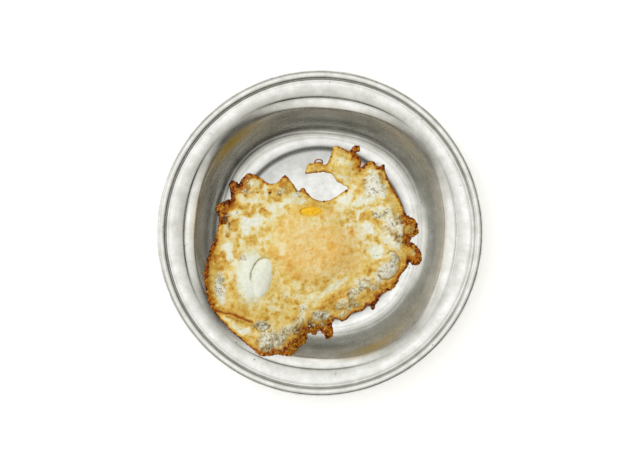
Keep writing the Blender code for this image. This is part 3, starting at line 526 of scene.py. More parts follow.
def grain(x, y, size, seed, octaves=2):
    """Smooth unevenness between about -1 and 1, with bumps of about the given size in mm."""
    return np.array([noise.fractal((px / size, py / size, seed * 7.31), 1.0, 2.0, octaves)
                     for px, py in zip(x, y)]) * 1.4


def spots(x, y, spacing, seed):
    """Round spots scattered on a jittered grid: up to 1 in the middle of a spot, 0 between them."""
    chance = np.random.default_rng(seed).random((4, 64, 64))
    column, row = np.floor(x / spacing).astype(int), np.floor(y / spacing).astype(int)
    best = np.zeros_like(x)
    for i in (-1, 0, 1):
        for j in (-1, 0, 1):
            at = ((column + i) % 64, (row + j) % 64)
            away = np.hypot(x - (column + i + 0.15 + 0.7 * chance[0][at]) * spacing,
                            y - (row + j + 0.15 + 0.7 * chance[1][at]) * spacing)
            share = away / (spacing * (0.25 + 0.35 * chance[2][at]))
            best = np.maximum(best, (1 - smooth_step(0.5, 1.1, share)) * chance[3][at])
    return best


def egg_underside(x, y):
    """Height of the egg's lower face: level, then a ramp up the wall, always clear of the dish."""
    along = x * math.cos(RAMP_DIRECTION) + y * math.sin(RAMP_DIRECTION)
    share = np.clip((along - RAMP_START) / (RAMP_END - RAMP_START), 0, 1)
    aside = np.abs(y * math.cos(RAMP_DIRECTION) - x * math.sin(RAMP_DIRECTION))
    share *= 1 - smooth_step(*RAMP_WIDTH, aside)
    ramp = LEVEL + RAMP_RISE * (0.5 * smooth_step(0, 1, share) + 0.5 * share)
    grow = 1 + 1.2 * GAP / np.maximum(np.hypot(x, y), 1)
    return np.maximum(ramp, dish_floor(x * grow, y * grow) + GAP)


def white_body(x, y, inward):
    """Height of the white's upper face before its fine relief."""
    thickness = RIM_THICKNESS + (WHITE_THICKNESS - RIM_THICKNESS) * smooth_step(0, THICKENS_OVER, inward)
    thickness *= 0.35 + 0.65 * np.sqrt(1 - (1 - np.clip(inward / RIM_ROUNDING, 0, 1)) ** 2)
    dome = 1 - smooth_step(0.5, 1.35, reach(x, y, (*YOLK_CENTRE, *YOLK_SIZE, 0)))
    left = np.clip(1 - reach(x, y, CURD_LEFT) ** 2, 0, 1)
    right = np.clip(1 - reach(x, y, CURD_RIGHT) ** 2, 0, 1) ** 0.7
    curd = np.maximum(CURD_RISE[0] * left, CURD_RISE[1] * right)
    fold = np.subtract(FOLD_END, FOLD_START)
    span = np.hypot(*fold)
    ax, ay = fold / span
    offset = (x - FOLD_START[0]) * ax + (y - FOLD_START[1]) * ay
    beyond = (x - FOLD_START[0]) * ay - (y - FOLD_START[1]) * ax
    flap = FLAP_DEPTH * smooth_step(0, 1.2, beyond) * (1 - smooth_step(0.85 * span, 1.2 * span, offset))
    flap = np.minimum(flap, np.maximum(thickness - 0.7, 0))
    return egg_underside(x, y) + thickness + DOME_RISE * dome + curd - flap


def yolk_top(x, y):
    """Height of the yolk's upper face, with the swell that fills the torn place in the white."""
    share = reach(x, y, (*YOLK_CENTRE, *YOLK_SIZE, 0))
    dome = YOLK_MIDDLE + YOLK_UP * np.sqrt(np.clip(1 - share ** 2, 0, 1))
    flush = white_body(x, y, np.full_like(x, 9.0)) - 0.5
    swell = 1 - smooth_step(1.1, 1.7, reach(x, y, WINDOW))
    return dome + (np.maximum(flush, dome) - dome) * swell


# ---------------------------------------------------------------- making meshes

def mesh_of(name, form, material):
    """Turn a bmesh into a mesh of the given material."""
    mesh = bpy.data.meshes.new(name)
    form.to_mesh(mesh)
    form.free()
    mesh.materials.append(material)
    return mesh


def new_piece(name, form, material, node=None, slot=None):
    """Turn a bmesh into a finished piece that rides on the body. Of the pieces only the dish shows in the
    steel's reflections, which keeps its wall free of the egg's colour; the egg's ochre on the wall is a
    painted reflection in the steel's finish instead."""
    mesh = mesh_of(name, form, material)
    mesh.shade_smooth()
    piece = bpy.data.objects.new(name, mesh)
    piece.visible_glossy = slot == "steel"
    bpy.context.scene.collection.objects.link(piece)
    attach(piece, "root")
    if node:
        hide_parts(node)
    return piece


def plan_of(form):
    """The plan points of a bmesh, as two arrays."""
    return np.array([v.co.x for v in form.verts]), np.array([v.co.y for v in form.verts])


def add(tree, kind, inputs=None, stops=None, **settings):
    """Add a node with its settings, its links or values, and the stops of its colour ramp."""
    made = tree.nodes.new(kind)
    for key, value in settings.items():
        setattr(made, key, value)
    for key, value in (inputs or {}).items():
        if isinstance(value, bpy.types.NodeSocket):
            tree.links.new(value, made.inputs[key])
        else:
            made.inputs[key].default_value = value
    for i, (place, colour) in enumerate(stops or ()):
        ramp = made.color_ramp.elements
        stop = ramp[i] if i < len(ramp) else ramp.new(place)
        stop.position = place
        stop.color = linear(colour) if isinstance(colour, str) else (colour, colour, colour, 1.0)
    return made


def new_material(name):
    """A new material without any nodes, and its node tree."""
    material = bpy.data.materials.new(name)
    material.use_nodes = True
    tree = material.node_tree
    tree.nodes.clear()
    return material, tree


def finish_material(tree, shader):
    """Add the material's output and link the shader to it."""
    add(tree, "ShaderNodeOutputMaterial", {"Surface": shader.outputs[0]})


def steel_material(tint):
    """Pressed stainless steel, polished long ago: soft broad reflections, hairline scratches, a few pits and
    a faint cloudiness from washing. Painted shade darkens the raised middle towards its step, with a painted
    dark reflection on the step, and painted ochre reflections of the egg lie here and there on the wall."""
    material, tree = new_material("worn polished steel")
    place = add(tree, "ShaderNodeTexCoord").outputs
    where = place["Object"]
    # Cloudiness in patches of about 7 mm, and pits of under 1 mm that lie about 7 mm apart.
    cloud = add(tree, "ShaderNodeTexNoise", {"Vector": where, "Scale": 150.0, "Detail": 5.0,
                                             "Roughness": 0.6})
    haze = add(tree, "ShaderNodeMapRange", {0: cloud.outputs["Fac"], 1: 0.3, 2: 0.7, 3: 0.0, 4: 1.0})
    colour = add(tree, "ShaderNodeMix", {0: haze.outputs[0], 6: linear("C6C6C1"), 7: tint},
                 data_type="RGBA")
    pits = add(tree, "ShaderNodeTexVoronoi", {"Vector": where, "Scale": 150.0, "Randomness": 1.0})
    pit = add(tree, "ShaderNodeMapRange", {0: pits.outputs["Distance"], 1: 0.03, 2: 0.06, 3: 0.0, 4: 1.0})
    colour = add(tree, "ShaderNodeMix", {0: pit.outputs[0], 6: linear("6B6A64"), 7: colour.outputs[2]},
                 data_type="RGBA")
    away = add(tree, "ShaderNodeVectorMath", {0: where}, operation="LENGTH").outputs["Value"]
    decimetres = add(tree, "ShaderNodeMath", {0: away, 1: 10.0}, operation="MULTIPLY")
    # Tone that follows the rings of the dish, over the distance from its middle: painted shade that darkens
    # the raised middle from about 28 mm out to its step, a painted dark reflection in the narrow ring of the
    # step at about 43 mm, and a faint warm grey on the wall. The painted ochre reflections keep to one ring
    # of the wall, and like the matt film they lie on its inside only.
    ring_tint_and_painted_shade = add(tree, "ShaderNodeValToRGB", {"Fac": decimetres.outputs[0]}, stops=(
        (0.28, 0.96), (0.36, 0.76), (0.41, 0.62), (0.425, 0.34), (0.435, 0.34), (0.45, 0.8), (0.47, 1.0),
        (0.51, 1.0), (0.55, "DEDFDC"), (0.59, "DAD8D0"), (0.63, "E8E2D6"), (0.68, 1.0)))
    ring = add(tree, "ShaderNodeValToRGB", {"Fac": decimetres.outputs[0]}, stops=(
        (0.605, 0.0), (0.635, 1.0), (0.66, 1.0), (0.685, 0.0)))
    facing = add(tree, "ShaderNodeSeparateXYZ", {0: place["Normal"]})
    inside = add(tree, "ShaderNodeMath", {0: facing.outputs["Z"], 1: 0.0}, operation="GREATER_THAN")
    ring = add(tree, "ShaderNodeMath", {0: ring.outputs[0], 1: inside.outputs[0]}, operation="MULTIPLY")
    film = add(tree, "ShaderNodeAttribute", attribute_name="film")
    film = add(tree, "ShaderNodeMath", {0: film.outputs["Fac"], 1: inside.outputs[0]},
               operation="MULTIPLY").outputs[0]
    colour = add(tree, "ShaderNodeMix", {0: 1.0, 6: colour.outputs[2], 7: ring_tint_and_painted_shade.outputs[0]},
                 data_type="RGBA", blend_type="MULTIPLY")
    # Each ochre patch is a painted reflection of the egg's colour in the wall.
    for egg_reflection in PAINTED_EGG_REFLECTIONS:
        gap = add(tree, "ShaderNodeVectorMath", {0: where, 1: [value * MM for value in egg_reflection[:3]]},
                  operation="DISTANCE").outputs["Value"]
        fade = add(tree, "ShaderNodeMapRange", {0: gap, 1: 0.0, 2: egg_reflection[3] * MM, 3: egg_reflection[4], 4: 0.0},
                   interpolation_type="SMOOTHSTEP")
        fade = add(tree, "ShaderNodeMath", {0: fade.outputs[0], 1: ring.outputs[0]}, operation="MULTIPLY")
        colour = add(tree, "ShaderNodeMix", {0: fade.outputs[0], 6: colour.outputs[2], 7: linear("A68A3A")},
                     data_type="RGBA")
        thick = add(tree, "ShaderNodeMath", {0: fade.outputs[0], 1: PAINTED_REFLECTION_MATT}, operation="MULTIPLY")
        film = add(tree, "ShaderNodeMath", {0: film, 1: thick.outputs[0]}, operation="MAXIMUM").outputs[0]
    bare = add(tree, "ShaderNodeMath", {0: 1.0, 1: film}, operation="SUBTRACT")
    # Hairlines that run round the dish, 1 to 2 mm apart. Real ones are too fine to show.
    round_way = add(tree, "ShaderNodeVectorMath", {0: where}, operation="NORMALIZE").outputs["Vector"]
    rings = add(tree, "ShaderNodeVectorMath", {0: round_way, 1: (5.0, 5.0, 5.0)}, operation="MULTIPLY")
    part = add(tree, "ShaderNodeSeparateXYZ", {0: rings.outputs[0]})
    across = add(tree, "ShaderNodeMath", {0: away, 1: 700.0}, operation="MULTIPLY")
    polar = add(tree, "ShaderNodeCombineXYZ", {
        0: part.outputs[0], 1: part.outputs[1], 2: across.outputs[0]})
    brushed = add(tree, "ShaderNodeTexNoise", {"Vector": polar.outputs[0], "Scale": 1.0, "Detail": 4.0,
                                               "Roughness": 0.6})
    rough = add(tree, "ShaderNodeMapRange", {0: brushed.outputs["Fac"], 1: 0.3, 2: 0.7, 3: 0.18, 4: 0.32})
    # Low waves of about 18 mm that the press left, which bend the reflections.
    waves = add(tree, "ShaderNodeTexNoise", {"Vector": where, "Scale": 55.0, "Detail": 2.0})
    low = add(tree, "ShaderNodeBump", {"Height": waves.outputs["Fac"], "Strength": 0.5, "Distance": 0.0006})
    fine = add(tree, "ShaderNodeBump", {"Height": brushed.outputs["Fac"], "Normal": low.outputs[0],
                                        "Strength": 0.3, "Distance": 0.00012})
    shader = add(tree, "ShaderNodeBsdfPrincipled", {
        "Base Color": colour.outputs[2], "Metallic": bare.outputs[0], "Roughness": rough.outputs[0],
        "Normal": fine.outputs[0]})
    finish_material(tree, shader)
    return material


def turned_sheet(profile, steps):
    """Spin a profile about +Z and draw the well out to its rounded square."""
    form = bmesh.new()
    spread = form.verts.layers.float.new("spread")
    lift = form.verts.layers.float.new("lift")
    line = []
    for radius, height, out, up in profile:
        vert = form.verts.new((radius * MM, 0.0, height * MM))
        vert[spread], vert[lift] = out, up
        line.append(vert)
    edges = [form.edges.new(pair) for pair in zip(line, line[1:])]
    bmesh.ops.spin(form, geom=line + edges, cent=(0, 0, 0), axis=(0, 0, 1), angle=math.tau,
                   steps=steps, use_merge=True)
    bmesh.ops.remove_doubles(form, verts=form.verts, dist=MERGE)
    for vert in form.verts:
        radius = math.hypot(vert.co.x, vert.co.y)
        if radius > MERGE:
            swell = float(well_swell(math.atan2(vert.co.y, vert.co.x)))
            stretch = 1 + vert[spread] * MM * swell / radius
            vert.co.x *= stretch
            vert.co.y *= stretch
            vert.co.z += vert[lift] * MM * swell
    bmesh.ops.recalc_face_normals(form, faces=form.faces)
    film = form.verts.layers.float.new("film")
    for vert in form.verts:
        radius, up = math.hypot(vert.co.x, vert.co.y), vert.co.z / MM
        swell = float(well_swell(math.atan2(vert.co.y, vert.co.x)))
        if radius / MM < CORNER_TOP:
            vert[film] = (FILM * smooth_step(*FILM_SETS_IN, up) * (1 - smooth_step(*FILM_ENDS, up))
                          * (1 - FILM_CORNER_LACK * swell))
        for base, out, rise in DRAW_LINES:
            gap = abs(radius / MM - base - out * swell)
            vert.co.z += rise * MM * max(0.0, 1 - gap / DRAW_LINE_WIDTH)
    middle = min(form.faces, key=lambda face: face.calc_center_median().length)
    if middle.normal.z < 0:
        bmesh.ops.reverse_faces(form, faces=form.faces)
    form.verts.layers.float.remove(form.verts.layers.float["lift"])
    form.verts.layers.float.remove(form.verts.layers.float["spread"])
    return form


# ---------------------------------------------------------------- the egg white

def edge_line(step):
    """Points along the egg's edge at about the given step, with the crust's width and darkness."""
    knots = [(px, py, width, dark) for width, dark, points in EDGE.values() for px, py in points]
    knots = knots[-2:] + knots + knots[:2]
    line = []
    for a, b, c, d in zip(knots, knots[1:], knots[2:], knots[3:]):
        count = max(1, round(math.dist(b[:2], c[:2]) / step))
        line += stretch_between(a, b, c, d, count)
    return np.array(line[:-count])


def ragged(line, amount):
    """Give an edge small nicks, more of them where its crust is wide."""
    after = np.roll(line, -2, axis=0)[:, :2] - np.roll(line, 2, axis=0)[:, :2]
    length = np.maximum(np.hypot(after[:, 0], after[:, 1]), 1e-6)
    nick = grain(line[:, 0], line[:, 1], 0.9, 3, 3) * amount * np.clip(line[:, 2] / 2, 0.25, 1.3)
    line = line.copy()
    line[:, 0] -= after[:, 1] / length * nick
    line[:, 1] += after[:, 0] / length * nick
    return line


def inside(x, y, line):
    """Tell which points lie inside a closed line."""
    ax, ay = line[:, 0], line[:, 1]
    bx, by = np.roll(ax, -1), np.roll(ay, -1)
    crossings = np.zeros(len(x), int)
    for px, py, qx, qy in zip(ax, ay, bx, by):
        if py == qy:
            continue
        meets = (py > y) != (qy > y)
        crossings += meets & (x < (qx - px) * (y - py) / (qy - py) + px)
    return crossings % 2 == 1


def tree_of(points):
    """A search tree of plan points."""
    tree = kdtree.KDTree(len(points))
    for i, point in enumerate(points):
        tree.insert((point[0], point[1], 0.0), i)
    tree.balance()
    return tree


def crease_fields(x, y):
    """How sunk and how dark each point is from the creases of the upper face: the darkness is browning along
    the folds and painted shade in the creases.
    """
    sunk = np.zeros_like(x)
    dark = np.zeros_like(x)
    for width, depth, shade, points in CREASES:
        line = []
        for a, b in zip(points, points[1:]):
            count = max(1, round(math.dist(a, b) / CREASE_STEP))
            line += [(a[0] + (b[0] - a[0]) * i / count, a[1] + (b[1] - a[1]) * i / count)
                     for i in range(count)]
        line = np.array(line)
        near = ((x > line[:, 0].min() - 2) & (x < line[:, 0].max() + 2)
                & (y > line[:, 1].min() - 2) & (y < line[:, 1].max() + 2))
        if not near.any():
            continue
        gap = np.hypot(x[near, None] - line[None, :, 0], y[near, None] - line[None, :, 1]).min(1)
        fall = 1 - smooth_step(0.3 * width, 1.6 * width, gap)
        sunk[near] = np.maximum(sunk[near], depth * fall)
        dark[near] = np.maximum(dark[near], shade * fall)
    return sunk, dark


def blisters(x, y, centres):
    """Height of a crowd of round blisters: x, y, radius and height of each."""
    height = np.zeros_like(x)
    for cx, cy, radius, rise in centres:
        near = (np.abs(x - cx) < radius) & (np.abs(y - cy) < radius)
        share = ((x[near] - cx) ** 2 + (y[near] - cy) ** 2) / radius ** 2
        height[near] = np.maximum(height[near], rise * np.sqrt(np.clip(1 - share, 0, 1)))
    return height


def plan_grid(step, line):
    """A square grid cut to the egg's edge and to the torn place over the yolk."""
    low, high = line[:, :2].min(0) - step, line[:, :2].max(0) + step
    count = np.ceil((high - low) / step).astype(int)
    form = bmesh.new()
    bmesh.ops.create_grid(form, x_segments=int(count[0]), y_segments=int(count[1]), size=0.5)
    bmesh.ops.scale(form, vec=(count[0] * step, count[1] * step, 1.0), verts=form.verts)
    bmesh.ops.translate(form, vec=(*(low + count * step / 2), 0.0), verts=form.verts)
    centres = np.array([face.calc_center_median()[:2] for face in form.faces])
    keep = inside(centres[:, 0], centres[:, 1], line[::3])
    keep &= reach(centres[:, 0], centres[:, 1], WINDOW) > 1
    bmesh.ops.delete(form, geom=[f for f, kept in zip(form.faces, keep) if not kept], context="FACES")
    while True:
        pinched = [v for v in form.verts if sum(e.is_boundary for e in v.link_edges) > 2]
        lone = [f for f in form.faces if sum(e.is_boundary for e in f.edges) > 2]
        spare = list({v.link_faces[0] for v in pinched} | set(lone))
        if not spare:
            break
        bmesh.ops.delete(form, geom=spare, context="FACES")
    return form


def fit_to_edge(form, line):
    """Draw the grid's border onto the egg's edge and the torn place, and even out what is next to it."""
    edge = tree_of(line)
    border = [v for v in form.verts if v.is_boundary]
    for vert in border:
        share = float(reach(np.array([vert.co.x]), np.array([vert.co.y]), WINDOW)[0])
        if share < 1.6:
            middle = Vector((WINDOW[0], WINDOW[1], 0.0))
            wave = 0.94 + 0.22 * noise.noise(vert.co * 0.7)
            vert.co = middle + (vert.co - middle) / share * wave
        else:
            found, _, _ = edge.find(vert.co)
            vert.co = found
    ring = {v for b in border for e in b.link_edges for v in (e.other_vert(b),) if not v.is_boundary}
    for _ in range(3):
        bmesh.ops.smooth_vert(form, verts=list(ring), factor=0.5, use_axis_x=True, use_axis_y=True)


def random_blisters(generator, line):
    """Blisters of the lace edge, crowded where the crust is wide, and some over the face."""
    made = []
    for px, py, width, _ in line[::4]:
        for _ in range(int(generator.random() < 0.35 + 0.3 * width)):
            inward = generator.uniform(0.2, 1.3) * width
            angle = generator.uniform(0, math.tau)
            radius = generator.uniform(0.5, 1.25)
            made.append((px + inward * math.cos(angle), py + inward * math.sin(angle), radius,
                         radius * generator.uniform(0.35, 0.7)))
    return made


def white_fields(x, y, line, generator):
    """Heights of both faces and the looks of every point of the white's plan."""
    edge = tree_of(line)
    found = [edge.find((px, py, 0.0)) for px, py in zip(x, y)]
    inward = np.array([f[2] for f in found])
    index = np.array([f[1] for f in found])
    width, dark = line[index, 2], line[index, 3]
    wx = x + 0.55 * grain(x, y, 2.6, 11) + 0.3 * grain(x, y, 0.9, 12)
    wy = y + 0.55 * grain(x, y, 2.6, 13) + 0.3 * grain(x, y, 0.9, 14)
    curd = np.maximum(cover(wx, wy, (CURD_LEFT,), 0.42),
                      cover(wx * 0.3 + x * 0.7, y, (CURD_RIGHT,), 0.16))
    froth = cover(2 * wx - x, 2 * wy - y, FROTHY, 0.45) * (1 - curd)
    clear = cover(2 * wx - x, 2 * wy - y, CLEAR, 0.4)
    glow = cover(wx, wy, YOLK_GLOW, 0.35) * (1 - curd)
    milk = cover(wx, wy, MILKY, 0.28)
    pale = cover(wx, wy, PALE, 0.5)
    sunk, crease_browning_and_shade = crease_fields(wx * 0.3 + x * 0.7, wy * 0.3 + y * 0.7)
    coarse, middle, fine = grain(x, y, 7.0, 21), grain(x, y, 2.6, 22, 3), grain(x, y, 1.1, 23)
    vein = smooth_step(0.72, 0.98, 1 - np.abs(grain(x, y, 2.8, 51, 3)))
    ground = 0.43 - 0.17 * pale + 0.06 * coarse + 0.1 * middle + 0.09 * fine
    freckles = 0.6 * spots(wx, wy, FRECKLE_SPACING, 41) * (0.25 + 0.75 * pale) * (1 - 0.5 * glow)
    gold = np.maximum(cover(wx, wy, BROWNED, 0.28), freckles)
    level = 0.58 + 0.75 * np.clip(gold - 0.5, 0, 1) + 0.1 * middle + 0.06 * fine
    level += 0.07 * (1 - smooth_step(0.05, 0.16, np.abs(gold - 0.22)))
    brown = ground + (level - ground) * np.clip(gold / 0.42, 0, 1) * 0.92
    brown += 0.12 * cover(wx, wy, TANNED, 0.4)
    brown -= 0.15 * vein * (0.4 + 0.6 * pale)
    brown = brown + (0.05 + 0.04 * fine - brown) * np.clip(milk, 0, 1) * 0.92
    crust = 1 - smooth_step(0.5 * width, 1.1 * width, inward + 0.35 * width * middle)
    toast = 1 - smooth_step(0.8 * width, 2.4 * width + 0.5, inward + 0.4 * width * fine)
    rind = 1 - smooth_step(0.12, 0.7, inward)
    brown = brown + 0.16 * toast
    brown = brown + (dark - 0.06 + 0.1 * middle + 0.08 * fine - brown) * crust
    brown = brown + 0.07 * rind * np.clip(width, 0.4, 1)
    moist = np.maximum(curd, clear)
    wrinkle = clear * smooth_step(0.55, 0.95, 1 - np.abs(grain(x, y, 2.4, 52, 2)))
    brown = brown + (0.1 + 0.05 * middle + 0.03 * fine + 0.06 * clear + 0.3 * wrinkle - brown) * moist
    brown += (0.1 * middle + 0.14 * fine - 0.06) * froth
    # The creases darken the browning: browned folds, and painted shade in the creases.
    brown = np.maximum(brown, crease_browning_and_shade)
    crisp = np.clip(crust + 0.5 * toast, 0, 1) * np.clip(width / 1.5, 0.3, 1)
    relief = 0.30 * coarse * (1 - 0.6 * glow) + 0.22 * middle + 0.10 * fine
    relief = relief * (1 - 0.9 * curd) * (1 - 0.7 * clear)
    relief += blisters(x, y, random_blisters(generator, line)) * np.clip(0.4 + crisp, 0, 1) * (1 - curd)
    relief += (0.35 * np.abs(grain(x, y, 1.2, 31, 2)) * crisp
               + 0.22 * np.abs(grain(x, y, 0.8, 32, 2)) * froth)
    relief += 0.3 * clear - 0.2 * froth + 0.6 * np.abs(grain(x, y, 1.9, 33, 2)) * clear
    relief += 0.12 * middle * curd
    relief -= sunk
    relief *= smooth_step(0.0, 0.9, inward) * 0.85 + 0.15
    body = white_body(x, y, inward)
    under = egg_underside(x, y)
    lip = 1 - smooth_step(1.0, 1.35, reach(x, y, WINDOW))
    top = body + relief * (1 - lip) - 0.12 * lip
    lift = 0.5 * (1 - smooth_step(0, 1.2, inward)) * np.clip(width / 2, 0.2, 1)
    below = np.where(reach(x, y, (*YOLK_CENTRE, *YOLK_SIZE, 0)) < 1.02, yolk_top(x, y) + 0.2, 0)
    bottom = np.maximum(under + 0.35 * lift, below)
    top = np.maximum(top + 0.6 * lift, bottom + THINNEST)
    return {"top": top, "bottom": bottom, "browning": brown, "crust": crust, "froth": froth,
            "clear": clear, "curd": curd, "glow": glow * (1 - crust) * (1 - 0.8 * froth),
            "thin": cover(wx, wy, THIN, 0.4)}


LOOKS = ("browning", "crust", "froth", "clear", "curd", "glow", "thin")


def build_white(step, material):
    """The egg white: a grid cut to the egg's plan, raised to its upper face and closed underneath."""
    line = ragged(edge_line(EDGE_STEP), RAG)
    form = plan_grid(step, line)
    fit_to_edge(form, line)
    fields = white_fields(*plan_of(form), line, np.random.default_rng(WHITE_SEED))
    layers = {name: form.verts.layers.float.new(name) for name in (*LOOKS, "top")}
    for i, vert in enumerate(form.verts):
        vert.co.z = fields["bottom"][i]
        for name, layer in layers.items():
            vert[layer] = fields[name][i]
    raised = bmesh.ops.extrude_face_region(form, geom=list(form.faces), use_keep_orig=True)
    for item in raised["geom"]:
        if isinstance(item, bmesh.types.BMVert):
            item.co.z = item[layers["top"]]
    form.verts.layers.float.remove(form.verts.layers.float["top"])
    bmesh.ops.recalc_face_normals(form, faces=form.faces)
    bmesh.ops.scale(form, vec=(MM, MM, MM), verts=form.verts)
    new_piece("egg_white", form, material, "egg_white", "white")


def white_material():
    """Egg white fried in oil: cooked protein, milky where thick, golden where it browned, dark and
    brittle at its lace edge, with grey froth and a thin film of oil."""
    material, tree = new_material("fried egg white")
    where = add(tree, "ShaderNodeTexCoord").outputs["Object"]
    looks = {name: add(tree, "ShaderNodeAttribute", attribute_name=name).outputs["Fac"] for name in LOOKS}
    # Unevenness of about 1.6 mm and 0.5 mm all over, and on the crust beads of about 1 mm and patches
    # of about 2.4 mm. All of it makes the browning darker or lighter.
    mottle = add(tree, "ShaderNodeTexNoise", {"Vector": where, "Scale": 620.0, "Detail": 5.0,
                                              "Roughness": 0.62})
    speckle = add(tree, "ShaderNodeTexNoise", {"Vector": where, "Scale": 1900.0, "Detail": 3.0,
                                               "Roughness": 0.6})
    beads = add(tree, "ShaderNodeTexVoronoi", {"Vector": where, "Scale": 900.0, "Randomness": 1.0})
    beady = add(tree, "ShaderNodeMath", {0: beads.outputs["Distance"], 1: 0.42}, operation="SUBTRACT")
    beady = add(tree, "ShaderNodeMath", {0: beady.outputs[0], 1: looks["crust"]}, operation="MULTIPLY")
    patches = add(tree, "ShaderNodeTexNoise", {"Vector": where, "Scale": 420.0, "Detail": 2.0})
    patchy = add(tree, "ShaderNodeMath", {0: patches.outputs["Fac"], 1: 0.5}, operation="SUBTRACT")
    patchy = add(tree, "ShaderNodeMath", {0: patchy.outputs[0], 1: looks["crust"]}, operation="MULTIPLY")
    base = looks["browning"]
    for unevenness, strength in ((beady.outputs[0], 0.42), (patchy.outputs[0], 0.55),
                                 (mottle.outputs["Fac"], 0.42), (speckle.outputs["Fac"], 0.26)):
        base = add(tree, "ShaderNodeMath", {0: unevenness, 1: strength, 2: base},
                   operation="MULTIPLY_ADD").outputs[0]
    toasted = add(tree, "ShaderNodeMath", {0: base, 1: 0.34}, operation="SUBTRACT")
    fried = add(tree, "ShaderNodeValToRGB", {"Fac": toasted.outputs[0]}, stops=(
        (0.0, "EFF1E7"), (0.08, "ECEDDC"), (0.17, "E9E3C2"), (0.27, "E8D9A0"), (0.36, "E5CC80"),
        (0.45, "DFBE63"), (0.54, "D6AE4D"), (0.62, "C99838"), (0.69, "BC801A"), (0.76, "AC690C"),
        (0.83, "9A4F06"), (0.9, "7E3605"), (0.96, "5A2205"), (1.0, "3A1408")))
    glow = add(tree, "ShaderNodeValToRGB", {"Fac": toasted.outputs[0]}, stops=(
        (0.06, "F0E0B4"), (0.22, "EFD698"), (0.37, "EBC87A"), (0.49, "E7B860"), (0.61, "E0A646"),
        (0.78, "CC8A28")))
    # The yolk shines through where the white over it is thin.
    shine = add(tree, "ShaderNodeMath", {0: looks["thin"], 1: 0.75}, operation="MULTIPLY")
    foam = add(tree, "ShaderNodeValToRGB", {"Fac": toasted.outputs[0]}, stops=(
        (0.1, "F2F1E6"), (0.25, "E2DFCE"), (0.4, "CAC4AC"), (0.52, "A89E82"), (0.66, "7C6E50"),
        (0.85, "4C3E28")))
    # Painted shade in the pits of burst froth bubbles, up to about 1 mm wide.
    cells = add(tree, "ShaderNodeTexVoronoi", {"Vector": where, "Scale": 800.0, "Randomness": 1.0})
    chance = add(tree, "ShaderNodeSeparateColor", {0: cells.outputs["Color"]})
    froth_pit_shade = add(tree, "ShaderNodeMapRange", {0: cells.outputs["Distance"], 1: 0.2, 2: 0.42, 3: 1.0, 4: 0.0})
    some = add(tree, "ShaderNodeMapRange", {0: chance.outputs[0], 1: 0.5, 2: 0.65, 3: 0.0, 4: 0.9})
    froth_pit_shade = add(tree, "ShaderNodeMath", {0: froth_pit_shade.outputs[0], 1: some.outputs[0]}, operation="MULTIPLY")
    froth_pit_shade = add(tree, "ShaderNodeMath", {0: froth_pit_shade.outputs[0], 1: looks["froth"]}, operation="MULTIPLY")
    gel = add(tree, "ShaderNodeValToRGB", {"Fac": toasted.outputs[0]}, stops=(
        (0.0, "F2F0E8"), (0.15, "EAE8DE"), (0.3, "D6D3C3"), (0.5, "9A9476"), (0.75, "4A4228")))
    firm = add(tree, "ShaderNodeValToRGB", {"Fac": toasted.outputs[0]}, stops=(
        (0.0, "F2F5EA"), (0.12, "ECEFE1"), (0.24, "E1E4D1"), (0.36, "CCCCB2"), (0.5, "A29F80")))
    # Each of these finishes covers the ones before it.
    colour = fried.outputs[0]
    for share, over in (
            (looks["glow"], glow.outputs[0]), (shine.outputs[0], linear("EDBE48")),
            (looks["froth"], foam.outputs[0]), (froth_pit_shade.outputs[0], linear("3C3524")),
            (looks["clear"], gel.outputs[0]), (looks["curd"], firm.outputs[0])):
        colour = add(tree, "ShaderNodeMix", {0: share, 6: colour, 7: over}, data_type="RGBA").outputs[2]
    rough = add(tree, "ShaderNodeMapRange", {0: speckle.outputs["Fac"], 1: 0.3, 2: 0.7, 3: 0.28, 4: 0.5})
    skin = add(tree, "ShaderNodeBump", {"Height": mottle.outputs["Fac"], "Strength": 0.5,
                                        "Distance": 0.0006})
    pores = add(tree, "ShaderNodeBump", {"Height": speckle.outputs["Fac"], "Normal": skin.outputs[0],
                                         "Strength": 0.4, "Distance": 0.00022})
    oily = add(tree, "ShaderNodeMapRange", {0: looks["crust"], 1: 0.0, 2: 1.0, 3: 0.4, 4: 0.15})
    shader = add(tree, "ShaderNodeBsdfPrincipled", {
        "Base Color": colour, "Roughness": rough.outputs[0], "Normal": pores.outputs[0], "IOR": 1.4,
        "Specular IOR Level": oily.outputs[0], "Subsurface Weight": 0.12,
        "Subsurface Radius": (1.0, 0.6, 0.35), "Subsurface Scale": 0.0008})
    finish_material(tree, shader)
    return material


def yolk_material():
    """Cooked egg yolk under a film of oil: deep yellow, smooth and moist."""
    material, tree = new_material("cooked egg yolk")
    where = add(tree, "ShaderNodeTexCoord").outputs["Object"]
    # Cloudiness in patches of about 2 mm.
    cloud = add(tree, "ShaderNodeTexNoise", {"Vector": where, "Scale": 500.0, "Detail": 4.0})
    colour = add(tree, "ShaderNodeValToRGB", {"Fac": cloud.outputs["Fac"]}, stops=(
        (0.35, "E4A608"), (0.5, "EFB90A"), (0.65, "F5C82A")))
    bump = add(tree, "ShaderNodeBump", {"Height": cloud.outputs["Fac"], "Strength": 0.3,
                                        "Distance": 0.0003})
    rough = add(tree, "ShaderNodeMapRange", {0: cloud.outputs["Fac"], 1: 0.3, 2: 0.7, 3: 0.25, 4: 0.42})
    shader = add(tree, "ShaderNodeBsdfPrincipled", {
        "Base Color": colour.outputs[0], "Roughness": rough.outputs[0], "Normal": bump.outputs[0],
        "Specular IOR Level": 0.4, "Subsurface Weight": 0.1, "Subsurface Scale": 0.001, "IOR": 1.4})
    finish_material(tree, shader)
    return material


